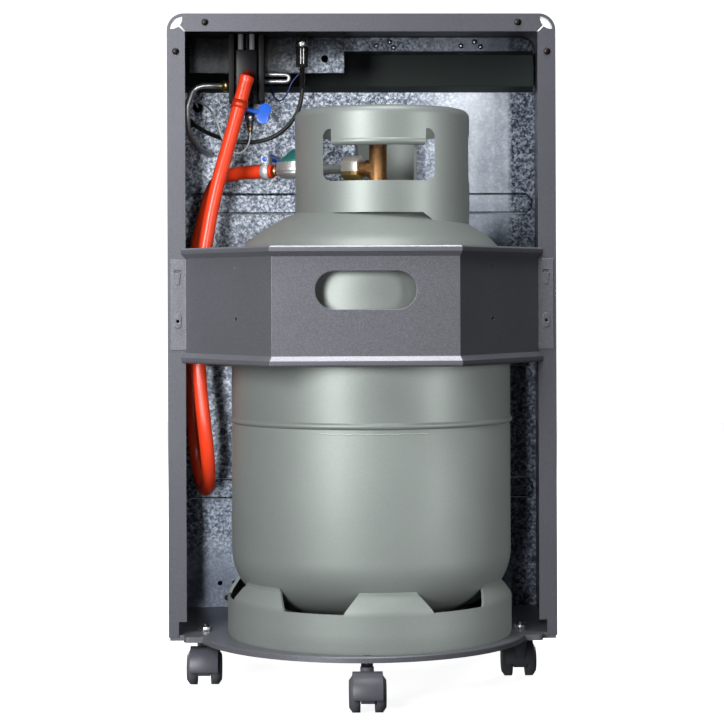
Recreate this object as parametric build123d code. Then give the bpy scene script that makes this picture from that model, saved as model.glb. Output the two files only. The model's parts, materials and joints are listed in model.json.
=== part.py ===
from build123d import *
import math
import os


# Gas cabinet heater, seen from behind with its rear cover off.
# Frame: X to the right as seen from behind, +Y towards the radiant front, +Z up, floor at Z = 0.
# The origin is the centre of the footprint. Depths are given inward from the rear flange's outer face.

# ---------------------------------------------------------------- driving sizes, in millimetres
# cabinet
CABINET_WIDTH = 420.0
CABINET_HEIGHT = 673.0
BODY_DEPTH = 275.0
SHEET = 1.0
CORNER_R = 18.0
REAR_FLANGE = 19.5
FRONT_FLANGE = 14.0
CABINET_DROP = 2.5          # cabinet walls end this far below the tray's top face
NOTCH_WIDTH = 8.5           # step at the foot of each rear flange
NOTCH_HEIGHT = 17.0
CRESCENT_INSET = 3.2        # corner cut-out, kept this far inside the rounded edge
CRESCENT_WIDTH = 8.0
CRESCENT_SPREAD = 28.0      # degrees each side of the diagonal
SLIT_WIDTH = 1.8
GUSSET_SHEET = 1.0
GUSSET_LEG = 52.0
FLANGE_SCREW_INSET = 9.5    # screw centre to the cabinet's outer edge
FLANGE_SCREW_PITCH = 41.0   # screw centre to the cabinet's outer corner
SCREW_HEAD_R = 3.8
SCREW_HEAD_H = 2.2
SCREW_SHANK_R = 1.6
ROUND_STEPS = ((1.5, 6), (4.8, 8), (8.0, 10), (14.0, 12), (23.0, 16))    # flats by radius
ROUND_MOST = 24
CORNER_FLATS = 3
BEND_STEP = 30.0             # degrees between the flats of a bent tube
BAND_LEAST = 0.01            # thinner bands of a turned piece are left out
SEAT_GAP = 0.1              # parallel faces that are fastened together

# base tray and casters
RIM_CLEARANCE = 48.5        # floor to the underside of the tray's rim
RIM_HEIGHT = 6.0
TRAY_SHEET = 1.5
TRAY_ARC_R = 180.0
TRAY_ARC_DEPTH = 36.0       # centre of the tray's round rear edge, inside the flange plane
TRAY_EAR_WIDTH = 387.0
TRAY_EAR_REACH = 13.0       # ears stand this far behind the flange plane
TRAY_EAR_R = 6.0
WALL_GAP = 0.3              # tray edge to cabinet wall
CASTER_X = 172.0
CASTER_REAR_DEPTH = 28.0
CASTER_FRONT_DEPTH = 240.0
CASTER_TAIL_INSET = 12.5    # centre caster's stem to the tray's rearmost edge
CASTER_TRAIL = 18.4
WHEEL_R = 19.0
WHEEL_WIDTH = 11.3
WHEEL_GAP = 15.0
AXLE_R = 2.5
RUN_FIT = 0.05              # radial clearance of a turning shaft
SIDE_FIT = 0.4              # axial play beside the wheels
HOOD_WIDTH = 30.5
HOOD_R = 22.6
HOOD_SHEET = 1.8
BOSS_R = 7.0
BOSS_TOP_Z = 43.0
STEM_R = 4.0
STEM_GRIP = 17.0            # stem held inside the hood's boss
COLLAR_R = 6.2
NUT_FLATS = 13.0
NUT_H = 5.0
STEM_PROUD = 3.0

# divider, heat baffle and base panel behind the bottle
DIVIDER_DEPTH = 198.0
DIVIDER_TOP_GAP = 1.0
BEAD_H = 24.5
BEAD_PROUD = 3.0
BEAD_END_GAP = 3.0
BEAD_LEVELS = (182.0, 337.0, 515.5)   # lower edge of each pressed bead above the floor
BAFFLE_LOW_Z = 661.0
BAFFLE_HIGH_Z = 704.0
BAFFLE_OUT = 14.0
BAFFLE_SHEET = 1.0
BAFFLE_END_GAP = 3.0

# gas bottle
BOTTLE_X = 9.4
BOTTLE_DEPTH = 22.0         # bottle axis inside the flange plane
BOTTLE_R = 151.5
BOTTLE_LOW = 91.5           # tray top to the lower end of the straight wall
BOTTLE_STRAIGHT = 290.0
DOME_HIGH = 90.0
DOME_LOW = 80.0
SEAM_UP = 141.0             # seam above the lower end of the straight wall
SEAM_HALF = 5.0
SEAM_DEEP = 2.2
NECK_OFFSET_X = 8.6         # neck and collar are welded this far off the body's axis
NECK_R = 15.0
NECK_H = 12.0
NECK_THREAD_R = 11.0
NECK_THREAD_DEPTH = 20.0
FOOT_R = 154.5
FOOT_OFFSET_X = -2.1        # foot ring's centre from the body's axis
FOOT_SHEET = 3.0
FOOT_H = 62.0
FOOT_WAIST = 43.0           # height at which the ring turns inward
FOOT_WINDOWS = 6
FOOT_WINDOW_START = -84.0   # degrees round from the rear
FOOT_WINDOW_SILL = 40.5
FOOT_WINDOW_LOW_HALF = 33.0
FOOT_WINDOW_HIGH_HALF = 46.0
GUARD_R = 95.0
GUARD_SHEET = 3.0
GUARD_OFFSET_X = 4.6          # collar's centre from the neck's
BOTTLE_FLATS = 40
GUARD_FLATS = 32
GUARD_TOP = 95.0            # collar rim above the dome's crown
WELD_GAP = 0.15             # welded pieces are drawn this far apart
KNUCKLE_R = 60.0            # round shoulder between wall and dome
SHOULDER_BANDS = 4          # conical bands that stand for each arc of a dome
CROWN_BANDS = 3
DRAIN_LOW_HALF = 56.0
DRAIN_HIGH_HALF = 47.0
DRAIN_H = 7.0
GUARD_SHOULDER_R = 9.0
GUARD_BANDS = 2
GUARD_LIP = 2.0              # flat rim inside the round shoulder
WINDOW_COUNT = 3
WINDOW_TURN = -4.8
WINDOW_HALF_ANGLE = 38.4
WINDOW_SILL = 15.0          # window sill above the crown
WINDOW_HEIGHT = 55.0
WINDOW_R = 9.5
GRIP_DROP = 16.0            # rolled hand grip hangs this far into the rear window
GRIP_HALF_W = 50.0
GRIP_R = 4.5

# retaining bar across the opening
BAR_LOW_Z = 348.0
BAR_H = 123.5
BAR_SHEET = 1.2
BAR_HALF_SPAN = 191.0       # where the wings meet the ears
BAR_FOLD_X = 95.8
BAR_BULGE = 139.0
BAR_BEAD_H = 11.0
BAR_BEAD_PROUD = 4.0
BAR_LIP = 9.0
EAR_WIDTH = 16.0
EAR_H = 97.7
EAR_LOW_Z = 361.9
EAR_SLOT_Z = 446.3
EAR_SLOT_W = 7.0
EAR_SLOT_H = 3.0
EAR_TONGUE_H = 12.5
EAR_PAD_Z = 393.0
EAR_PAD_H = 15.5
EAR_PAD_W = 8.0
COVER_HOLE_R = 1.6
HAND_HOLE_W = 103.0
HAND_HOLE_H = 39.0
HAND_HOLE_Z = 425.9
HAND_HOLE_HEM = 6.0
WING_HOLE_X = 134.0
WING_HOLE_Z = 396.0
WING_DIMPLE_Z = 450.0
WING_HOLE_R = 1.8
BAR_LIFT = 10.0
HOOK_THICK = 2.0
HOOK_H = 8.0
HOOK_LEG = 9.0             # part of the hook that hangs behind the flange
HOOK_REACH = 6.0
HOOK_X = 199.6
HOOK_LEVELS = (371.0, 412.0)
HOOK_GAP = 0.4

# bottle valve, regulator and hose joint
VALVE_R = 10.0
VALVE_H = 42.0
OUTLET_Z = 559.0
OUTLET_TURN = -115.0        # degrees round from the rear
OUTLET_R = 7.5
OUTLET_REACH = 20.0
UNION_FLATS = 25.0
UNION_L = 19.0
STEM_TUBE_R = 5.2
STEM_TUBE_L = 34.0
REGULATOR_R = 28.0
REGULATOR_H = 17.0
REGULATOR_CAP_R = 25.5
REGULATOR_CAP_H = 14.0
REGULATOR_CAP_RIM = 2.0
REGULATOR_CAP_TOP_R = 11.0
TAIL_R = 5.2
TAIL_RIB = 1.1
TAIL_L = 5.0
TAIL_RIBS = 1
HANDWHEEL_R = 22.0
HANDWHEEL_H = 9.0
HANDWHEEL_LOBES = 8
SPINDLE_R = 4.0
SPINDLE_H = 14.0

# gas hose
HOSE_R = 7.75
HOSE_BORE_GAP = 0.15        # hose end to the shoulder that it is pushed against
CLIP_WIDTH = 9.0
CLIP_SHEET = 0.9
CLIP_GAP = 0.15
CLIP_HOUSING = (11.0, 9.0, 8.0)
THUMB_NECK_R = 2.6
THUMB_NECK_L = 16.0
THUMB_WING_R = 7.0
THUMB_WING_SPREAD = 6.5
THUMB_WING_L = 15.0
THUMB_WING_THICK = 3.4

# controls under the top panel
PAN_WIDTH = 176.0
PAN_DEPTH = 92.0
PAN_RECESS = 12.0
PAN_X = -104.0
PAN_NEAR_DEPTH = 42.0
PAN_LIP = 7.0
PAN_R = 12.0
KNOB_R = 21.0
KNOB_H = 19.0
KNOB_GRIP_W = 9.0
VALVE_BLOCK_X = -126.4
VALVE_BLOCK_DEPTH = 84.0
BLOCK_W = 25.0
BLOCK_D = 24.0
BLOCK_LOW_Z = 647.0
BLOCK_HIGH_Z = 694.0
CHANNEL_W = 39.5
CHANNEL_SHEET = 5.5
CHANNEL_LOW_Z = 636.5
POST_R = 3.3
POST_PITCH = 12.5
SHAFT_R = 3.0
IGNITER_X = -64.4
IGNITER_DEPTH = 80.0
IGNITER_R = 7.0
IGNITER_BODY_H = 23.0
IGNITER_TIP_R = 3.0
IGNITER_TIP_H = 24.0
IGNITER_NUT_FLATS = 13.0
IGNITER_NUT_H = 5.8
IGNITER_NECK_R = 5.5
BUTTON_R = 9.0
BUTTON_H = 7.0
BUTTON_TRAVEL = 5.0
BUTTON_SHAFT_R = 3.0
BRACKET_DEPTH = 108.0
BRACKET_LEFT_X = -192.0
BRACKET_RIGHT_X = -17.0
BRACKET_LOW_Z = 672.0
BRACKET_SHEET = 1.2
TUBE_R = 3.0

# radiant front
BURNER_Z = 470.0
BURNER_H = 175.0
BURNER_COUNT = 3
BURNER_W = 104.0
BURNER_PITCH = 112.0
BURNER_D = 34.0
BURNER_SHEET = 1.2
BURNER_GAP = 8.0            # divider to the back of the burner boxes
PLAQUE_THICK = 13.0
PLAQUE_GAP = 0.25
PLAQUE_ROWS = 5
PLAQUE_SLOT = 20.0
INJECTOR_R = 5.0
INJECTOR_L = 14.0
REFLECTOR_FLARE = 16.0
REFLECTOR_SHEET = 1.0
REFLECTOR_MARGIN = 6.0
OPENING_W = 368.0
OPENING_LOW_Z = 372.0
OPENING_HIGH_Z = 668.0
FRONT_R = 12.0
LOUVRE_ROWS = 5
LOUVRE_W = 240.0
LOUVRE_H = 6.0
LOUVRE_PITCH = 22.0
LOUVRE_Z = 130.0
GUARD_OUT = 13.0
WIRE_R = 1.75
GUARD_BARS = 11
GUARD_RAILS = 4
ODS_X = -30.0

# ---------------------------------------------------------------- places worked out from the sizes
TRAY_OVERHANG = TRAY_ARC_R - TRAY_ARC_DEPTH
REAR_REACH = TRAY_OVERHANG - CASTER_TAIL_INSET + CASTER_TRAIL + HOOD_R
REAR_Y = (REAR_REACH - BODY_DEPTH - GUARD_OUT) / 2
TRAY_TOP_Z = RIM_CLEARANCE + RIM_HEIGHT
TRAY_PLATE_Z = TRAY_TOP_Z - TRAY_SHEET
BODY_LOW_Z = TRAY_TOP_Z - CABINET_DROP
BODY_TOP_Z = BODY_LOW_Z + CABINET_HEIGHT
HALF_W = CABINET_WIDTH / 2
INNER_X = HALF_W - SHEET
FLANGE_INNER_X = HALF_W - REAR_FLANGE
ROOF_Z = BODY_TOP_Z - SHEET
BOTTLE_LOW_Z = TRAY_TOP_Z + BOTTLE_LOW
BOTTLE_HIGH_Z = BOTTLE_LOW_Z + BOTTLE_STRAIGHT
CROWN_Z = BOTTLE_HIGH_Z + DOME_HIGH
NECK_X = BOTTLE_X + NECK_OFFSET_X
GUARD_X = NECK_X + GUARD_OFFSET_X
NECK_TOP_Z = CROWN_Z + NECK_H
PAN_FLOOR_Z = BODY_TOP_Z - PAN_RECESS
EAR_OUT_X = BAR_HALF_SPAN + EAR_WIDTH
EAR_MIDDLE_X = BAR_HALF_SPAN + EAR_WIDTH / 2


def inward(depth):
    """Y of a place that lies this far inside the rear flange's outer face."""
    return REAR_Y + depth


BOTTLE_Y = inward(BOTTLE_DEPTH)
OUTLET_ANGLE = math.radians(OUTLET_TURN)
OUTLET_DIR = Vector(math.sin(OUTLET_ANGLE), -math.cos(OUTLET_ANGLE), 0)
VALVE_AXIS = Vector(NECK_X, BOTTLE_Y, OUTLET_Z)


# ---------------------------------------------------------------- shape helpers
def block(x0, x1, y0, y1, z0, z1):
    """A plain block between two corners."""
    size = (x1 - x0, y1 - y0, z1 - z0)
    return Pos((x0 + x1) / 2, (y0 + y1) / 2, (z0 + z1) / 2) * Box(*size)


def sides_for(radius):
    """Number of flats that stands for a small circle of this radius."""
    for limit, sides in ROUND_STEPS:
        if radius < limit:
            return sides
    return ROUND_MOST


def disc(radius):
    """Round outline of a small piece, its corners on the circle."""
    return RegularPolygon(radius, sides_for(radius))


def eye(radius):
    """Round outline of a small hole, its flats on the circle."""
    return RegularPolygon(radius, sides_for(radius), major_radius=False)


def soft_corners(width, height, radius):
    """Rectangle whose corners are rounded in three short flats."""
    points = []
    for quarter in range(4):
        cx = (width / 2 - radius) * (1 if quarter in (0, 3) else -1)
        cy = (height / 2 - radius) * (1 if quarter in (0, 1) else -1)
        for step in range(CORNER_FLATS + 1):
            angle = math.radians(90 * (quarter + step / CORNER_FLATS))
            points.append((cx + radius * math.cos(angle), cy + radius * math.sin(angle)))
    return make_face(Polyline(*points, close=True))


def rod(start, direction, length, radius):
    """A small round bar from a point along a direction."""
    return extrude(Plane(origin=start, z_dir=direction) * disc(radius), length)


def bore(start, direction, length, radius):
    """Space that a small round hole takes from a point along a direction."""
    return extrude(Plane(origin=start, z_dir=direction) * eye(radius), length)


def faceted(rings):
    """A flat-sided solid through closed rings of corners, each joined to the next and the last to the first."""
    faces = []
    for ring, following in zip(rings, rings[1:] + rings[:1]):
        sides = max(len(ring), len(following))
        for index in range(sides if sides > 1 else 0):
            after = (index + 1) % sides
            corners = [ring[index % len(ring)]]
            if len(ring) > 1:
                corners.append(ring[after])
            if len(following) > 1:
                corners.append(following[after])
            corners.append(following[index % len(following)])
            faces.append(Face(Wire.make_polygon(corners, close=True)))
    return Solid(Shell(faces))


def lathe(profile, lay, sides):
    """A flat-sided turned solid about a plane's axis, from a closed section of (radius, distance)."""
    rings = []
    for radius, level in profile:
        turns = [2 * math.pi * index / sides for index in range(sides if radius > BAND_LEAST else 1)]
        corners = [Vector(radius * math.cos(turn), radius * math.sin(turn), level) for turn in turns]
        rings.append([lay.from_local_coords(corner) for corner in corners])
    return faceted(rings)


def turned(start, direction, rows):
    """A small turned piece from rows of (distance along, radius)."""
    profile = [(0, rows[0][0])] + [(radius, along) for along, radius in rows] + [(0, rows[-1][0])]
    return lathe(profile, Plane(origin=start, z_dir=direction), sides_for(max(radius for _, radius in rows)))


def hexagon(start, direction, length, flats, spin=0):
    """A six-sided prism from a point along a direction, by its width across flats."""
    plane = Plane(origin=start, z_dir=direction)
    outline = RegularPolygon(flats / 2, 6, major_radius=False, rotation=spin)
    return extrude(plane * outline, length)


def strip(points, thickness):
    """A folded sheet's section: the points are one face, the other lies to their left."""
    return make_face(Polyline(*strip_points(points, thickness), close=True))


def strip_points(points, thickness):
    """Corners of a folded sheet's section."""
    lines = []
    for (x0, y0), (x1, y1) in zip(points, points[1:]):
        run = math.hypot(x1 - x0, y1 - y0)
        lines.append(((x1 - x0) / run, (y1 - y0) / run))
    inner = []
    for index, (x, y) in enumerate(points):
        before = lines[max(index - 1, 0)]
        after = lines[min(index, len(lines) - 1)]
        tangent = (before[0] + after[0], before[1] + after[1])
        size = math.hypot(*tangent)
        half_turn = (before[0] * tangent[0] + before[1] * tangent[1]) / size
        reach = thickness / half_turn
        inner.append((x - tangent[1] / size * reach, y + tangent[0] / size * reach))
    return [*points, *reversed(inner)]


def upright_arch(width, low_z, high_z, radius):
    """The cabinet's outline in XZ: straight walls, a flat top and two round corners."""
    half = width / 2
    turn = radius * (1 - math.sqrt(0.5))
    path = [
        Line((-half, low_z), (-half, high_z - radius)),
        ThreePointArc((-half, high_z - radius), (-half + turn, high_z - turn), (-half + radius, high_z)),
        Line((-half + radius, high_z), (half - radius, high_z)),
        ThreePointArc((half - radius, high_z), (half - turn, high_z - turn), (half, high_z - radius)),
        Line((half, high_z - radius), (half, low_z)),
        Line((half, low_z), (-half, low_z)),
    ]
    return make_face(path)


def stand(face, near, far):
    """Extrude an XZ outline between two depths inside the rear flange."""
    plane = Plane(origin=(0, inward(far), 0), x_dir=(1, 0, 0), z_dir=(0, -1, 0))
    return extrude(plane * face, far - near)


def group(solids):
    """Separate solids kept in one node."""
    flat = []
    for item in solids:
        flat.extend(item.solids())
    return Compound(children=flat)


def save(name, shape):
    """Write one node."""
    export_step(shape, f"parts/{name}.step")


def both_sides(shape):
    """A shape and its mirror image across the cabinet's centre plane."""
    return [shape, mirror(shape, about=Plane.YZ)]


# ---------------------------------------------------------------- cabinet
def screw_places():
    """Centres (x, z) of the four flange screws, on the top corners."""
    level = BODY_TOP_Z - FLANGE_SCREW_PITCH
    across = HALF_W - FLANGE_SCREW_PITCH
    top = BODY_TOP_Z - FLANGE_SCREW_INSET
    side = HALF_W - FLANGE_SCREW_INSET
    return [(-across, top), (across, top), (-side, level), (side, level)]


def crescent(sign):
    """Corner cut-out that follows the rounded edge, with a slit to the flange's inner corner."""
    cx = sign * (HALF_W - CORNER_R)
    cz = BODY_TOP_Z - CORNER_R
    outer = CORNER_R - CRESCENT_INSET
    diagonal = 45 if sign > 0 else 135
    start = math.radians(diagonal - CRESCENT_SPREAD - 12)
    end = math.radians(diagonal + CRESCENT_SPREAD + 12)
    middle = math.radians(diagonal)

    def at(angle, radius):
        return (cx + radius * math.cos(angle), cz + radius * math.sin(angle))

    bow = outer - CRESCENT_WIDTH
    moon = make_face([
        ThreePointArc(at(start, outer), at(middle, outer), at(end, outer)),
        ThreePointArc(at(end, outer), at(middle, bow), at(start, outer)),
    ])
    corner_x = sign * FLANGE_INNER_X
    corner_z = BODY_TOP_Z - REAR_FLANGE
    tip_x, tip_z = at(middle, outer - CRESCENT_WIDTH / 2)
    mid = ((corner_x + tip_x) / 2, (corner_z + tip_z) / 2)
    length = math.hypot(corner_x - tip_x, corner_z - tip_z) + SLIT_WIDTH
    slit = Pos(*mid) * Rot(0, 0, diagonal) * Rectangle(length, SLIT_WIDTH)
    return moon + slit


def hook_windows():
    """Slots in the rear flange that the bar's hooks drop into, with room to lift."""
    cuts = []
    for low in HOOK_LEVELS:
        for sign in (-1, 1):
            width = HOOK_THICK + 2 * HOOK_GAP
            height = HOOK_H + BAR_LIFT + SEAT_GAP + HOOK_GAP
            centre = low - SEAT_GAP + height / 2
            cuts.append(Pos(sign * HOOK_X, centre) * Rectangle(width, height))
    return cuts


def cabinet_shell():
    """Painted wrap: two walls and a round-cornered top, folded in at the rear and the front."""
    outer = upright_arch(CABINET_WIDTH, BODY_LOW_Z, BODY_TOP_Z, CORNER_R)
    inner = upright_arch(2 * INNER_X, BODY_LOW_Z, ROOF_Z, CORNER_R - SHEET)
    shell = stand(outer, 0, BODY_DEPTH) - stand(inner, SHEET, BODY_DEPTH - SHEET)
    mouth = upright_arch(2 * FLANGE_INNER_X, BODY_LOW_Z, BODY_TOP_Z - REAR_FLANGE, SHEET)
    for sign in (-1, 1):
        step_x = sign * (FLANGE_INNER_X + NOTCH_WIDTH / 2)
        step_z = BODY_LOW_Z + NOTCH_HEIGHT / 2
        mouth += Pos(step_x, step_z) * Rectangle(NOTCH_WIDTH, NOTCH_HEIGHT)
        mouth += crescent(sign)
    for cut in hook_windows():
        mouth += cut
    for x, z in screw_places():
        mouth += Pos(x, z) * eye(SCREW_SHANK_R + RUN_FIT)
    for x in (-EAR_MIDDLE_X, EAR_MIDDLE_X):
        mouth += Pos(x, EAR_PAD_Z) * Circle(COVER_HOLE_R)
    shell -= stand(mouth, -SHEET, 2 * SHEET)
    face_w = CABINET_WIDTH - 2 * FRONT_FLANGE
    front = upright_arch(face_w, BODY_LOW_Z, BODY_TOP_Z - FRONT_FLANGE, FRONT_R)
    shell -= stand(front, BODY_DEPTH - 2 * SHEET, BODY_DEPTH + SHEET)
    well = Pos(PAN_X, inward(PAN_NEAR_DEPTH + PAN_DEPTH / 2), ROOF_Z)
    opening = extrude(soft_corners(PAN_WIDTH, PAN_DEPTH, PAN_R), 2 * SHEET, both=True)
    return shell - well * opening


def corner_gussets():
    """Bright L-shaped stiffeners behind the two top corners of the rear flange."""
    low = BODY_TOP_Z - GUSSET_LEG
    near = SHEET + SEAT_GAP
    plates = []
    outline = upright_arch(2 * (INNER_X - WALL_GAP), low, ROOF_Z - WALL_GAP, CORNER_R - SHEET)
    outline -= upright_arch(2 * FLANGE_INNER_X + 1, low, BODY_TOP_Z - REAR_FLANGE + 0.5, SHEET)
    for x, z in screw_places():
        outline -= Pos(x, z) * eye(SCREW_SHANK_R + RUN_FIT)
    frame = stand(outline, near, near + GUSSET_SHEET)
    gap = HALF_W - GUSSET_LEG
    middle = block(-gap, gap, REAR_Y, inward(9), low, BODY_TOP_Z)
    return group([frame - middle])


def flange_screws():
    """Four pan-head screws that hold the gussets to the flange."""
    screws = []
    for x, z in screw_places():
        place = (x, REAR_Y, z)
        crown = SCREW_HEAD_H * 0.4
        rows = [(0, SCREW_HEAD_R), (SCREW_HEAD_H - crown, SCREW_HEAD_R), (SCREW_HEAD_H, SCREW_HEAD_R - crown)]
        head = turned(place, (0, -1, 0), rows)
        shank = rod(place, (0, 1, 0), 5.0, SCREW_SHANK_R)
        screws.append(head + shank)
    return group(screws)


# ---------------------------------------------------------------- base tray and casters
def caster_places():
    """Stem places (x, y) and the way each wheel trails, keyed by caster name."""
    tail = -TRAY_OVERHANG + CASTER_TAIL_INSET
    return {
        "left": (-CASTER_X, inward(CASTER_REAR_DEPTH), -1),
        "right": (CASTER_X, inward(CASTER_REAR_DEPTH), 1),
        "tail": (0.0, inward(tail), -1),
        "front_left": (-CASTER_X, inward(CASTER_FRONT_DEPTH), -1),
        "front_right": (CASTER_X, inward(CASTER_FRONT_DEPTH), -1),
    }


def tray_outline(inset=0.0):
    """Plan of the tray: square in front, with ears and a round bulge at the rear."""
    wall = INNER_X - WALL_GAP - inset
    ear = TRAY_EAR_WIDTH / 2 - inset
    arc_r = TRAY_ARC_R - inset
    middle_y = inward(TRAY_ARC_DEPTH)
    front = inward(BODY_DEPTH - SHEET - WALL_GAP) - inset
    shoulder = inward(SHEET + WALL_GAP) + inset
    ear_y = inward(-TRAY_EAR_REACH) + inset
    main = Pos(0, (front + shoulder) / 2) * Rectangle(2 * wall, front - shoulder)
    ears = Pos(0, (ear_y + front) / 2) * RectangleRounded(2 * ear, front - ear_y, TRAY_EAR_R)
    return main + ears + Pos(0, middle_y) * Circle(arc_r)


def base_tray():
    """Shallow steel tray with a turned-down rim, carried by five caster stems."""
    rim = extrude(Plane.XY.offset(RIM_CLEARANCE) * tray_outline(), RIM_HEIGHT)
    hollow = extrude(Plane.XY.offset(RIM_CLEARANCE) * tray_outline(TRAY_SHEET), RIM_HEIGHT - TRAY_SHEET)
    tray = rim - hollow
    for x, y, _ in caster_places().values():
        tray -= bore((x, y, TRAY_TOP_Z - 2 * TRAY_SHEET), (0, 0, 1), 4 * TRAY_SHEET, STEM_R + RUN_FIT)
    edges = tray.edges().filter_by_position(Axis.Z, TRAY_TOP_Z, TRAY_TOP_Z)
    rear = [e for e in edges if e.length > TRAY_ARC_R / 2 and e.geom_type == GeomType.CIRCLE]
    return chamfer(rear, TRAY_SHEET * 0.6)


def caster_stems():
    """Stems with a collar under the tray; the tail caster's ends flush under the bottle's foot."""
    stems = []
    for name, (x, y, _) in caster_places().items():
        low = BOSS_TOP_Z - STEM_GRIP
        top = TRAY_TOP_Z - SEAT_GAP if name == "tail" else TRAY_TOP_Z + NUT_H + STEM_PROUD
        stem = rod((x, y, low), (0, 0, 1), top - low, STEM_R)
        collar = rod((x, y, BOSS_TOP_Z + SIDE_FIT), (0, 0, 1), TRAY_PLATE_Z - BOSS_TOP_Z - SIDE_FIT, COLLAR_R)
        stems.append(stem + collar)
    return group(stems)


def caster_nuts():
    """Hexagon nuts that clamp four of the stems on the tray."""
    nuts = []
    for name, (x, y, _) in caster_places().items():
        if name == "tail":
            continue
        nut = hexagon((x, y, TRAY_TOP_Z), (0, 0, 1), NUT_H, NUT_FLATS, 17)
        nuts.append(nut - bore((x, y, TRAY_TOP_Z - 1), (0, 0, 1), NUT_H + 2, STEM_R + RUN_FIT))
    return group(nuts)


def caster_hood(x, y, trail):
    """Moulded hood between and over the twin wheels, with a boss for the stem."""
    axle_y = y + trail * CASTER_TRAIL
    lay = Plane(origin=(x - HOOD_WIDTH / 2, axle_y, WHEEL_R), x_dir=(0, 1, 0), z_dir=(1, 0, 0))
    shade = disc(HOOD_R) - disc(HOOD_R - HOOD_SHEET)
    shade -= Pos(0, -HOOD_R / 2 - 3) * Rectangle(3 * HOOD_R, HOOD_R)
    cover = extrude(lay * shade, HOOD_WIDTH)
    web_w = WHEEL_GAP - 2 * SIDE_FIT
    web_lay = Plane(origin=(x - web_w / 2, axle_y, WHEEL_R), x_dir=(0, 1, 0), z_dir=(1, 0, 0))
    lower = disc(HOOD_R - HOOD_SHEET / 2) - Pos(0, -HOOD_R - AXLE_R - 4) * Rectangle(3 * HOOD_R, 2 * HOOD_R)
    web = extrude(web_lay * lower, web_w)
    boss = rod((x, y, BOSS_TOP_Z - STEM_GRIP - 3), (0, 0, 1), STEM_GRIP + 3, BOSS_R)
    hood = cover + web + boss
    hood -= bore((x, y, BOSS_TOP_Z - STEM_GRIP - SIDE_FIT), (0, 0, 1), STEM_GRIP + 5, STEM_R + RUN_FIT)
    return hood - bore((x - HOOD_WIDTH, axle_y, WHEEL_R), (1, 0, 0), 2 * HOOD_WIDTH, AXLE_R + RUN_FIT)


def caster_wheels(x, y, trail):
    """Two wheels on their common axle."""
    axle_y = y + trail * CASTER_TRAIL
    half = WHEEL_GAP / 2 + WHEEL_WIDTH
    side = turned((0, 0, 0), (1, 0, 0), [(WHEEL_GAP / 2, WHEEL_R), (half - 3.5, WHEEL_R), (half, WHEEL_R - 5)])
    pair = side + mirror(side, about=Plane.YZ) + rod((-half / 2, 0, 0), (1, 0, 0), half, AXLE_R)
    return Pos(x, axle_y, WHEEL_R) * pair


# ---------------------------------------------------------------- inner sheet metal
def bead_outline(length, height):
    """Long outline of a pressed bead, its ends cut to eight sides."""
    half = length / 2
    side = height / 2
    nick = height * 0.3
    right = [(half - nick, side), (half, side - nick), (half, nick - side), (half - nick, -side)]
    left = [(-x, y) for x, y in reversed(right)]
    return make_face(Polyline(*right, *left, close=True))


def divider_panel():
    """Galvanised wall between the bottle space and the burners, stiffened by pressed beads."""
    width = 2 * (INNER_X - WALL_GAP)
    low = TRAY_TOP_Z + WALL_GAP
    high = ROOF_Z - DIVIDER_TOP_GAP
    outline = upright_arch(width, low, high, CORNER_R - SHEET)
    panel = stand(outline, DIVIDER_DEPTH, DIVIDER_DEPTH + SHEET)
    face = Plane(origin=(0, inward(DIVIDER_DEPTH), 0), x_dir=(1, 0, 0), z_dir=(0, -1, 0))
    length = width - 2 * BEAD_END_GAP
    for level in BEAD_LEVELS:
        centre = Pos(0, level + BEAD_H / 2)
        rib = centre * bead_outline(length, BEAD_H)
        hollow = centre * bead_outline(length - 2 * SHEET, BEAD_H - 2 * SHEET)
        panel += extrude(face * rib, BEAD_PROUD, taper=40)
        panel -= extrude(face.offset(-SHEET - 0.01) * hollow, BEAD_PROUD, taper=40)
    for x, level, radius in ((-163.0, 83.0, 2.6), (-147.0, 84.0, 2.2)):
        panel -= bore((x, inward(DIVIDER_DEPTH) - 1, level), (0, 1, 0), 3 * SHEET, radius)
    return panel


def heat_baffle():
    """Painted trough across the top of the divider that keeps heat off the controls."""
    y = inward(DIVIDER_DEPTH) - SEAT_GAP
    out = y - BAFFLE_OUT
    section = [
        (y, BAFFLE_HIGH_Z + BEAD_PROUD), (out, BAFFLE_HIGH_Z - BEAD_PROUD),
        (out, BAFFLE_LOW_Z + BEAD_PROUD), (y, BAFFLE_LOW_Z - BEAD_PROUD),
    ]
    half = INNER_X - BAFFLE_END_GAP
    lay = Plane(origin=(-half, 0, 0), x_dir=(0, 1, 0), z_dir=(1, 0, 0))
    return extrude(lay * strip(section, BAFFLE_SHEET), 2 * half) - half_back(y)


# ---------------------------------------------------------------- gas bottle
def dome_r(radius, height):
    """Crown radius of a dome whose shoulder and crown meet smoothly."""
    side = radius - KNUCKLE_R
    return (KNUCKLE_R ** 2 - side ** 2 - height ** 2) / (2 * (KNUCKLE_R - height))


def dome_points(radius, knuckle, height, sign, base_z):
    """Half section of a dome as bands that follow its shoulder arc, then its crown arc to the axis."""
    side = radius - knuckle
    crown = (knuckle ** 2 - side ** 2 - height ** 2) / (2 * (knuckle - height))
    middle = height - crown
    tilt = math.atan2(side, -middle)
    points = []
    for step in range(SHOULDER_BANDS):
        angle = math.pi / 2 - (math.pi / 2 - tilt) * step / SHOULDER_BANDS
        points.append((side + knuckle * math.sin(angle), base_z + sign * knuckle * math.cos(angle)))
    for step in range(CROWN_BANDS):
        angle = tilt * (1 - step / CROWN_BANDS)
        points.append((crown * math.sin(angle), base_z + sign * (middle + crown * math.cos(angle))))
    return points + [(0, base_z + sign * height)]


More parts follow.
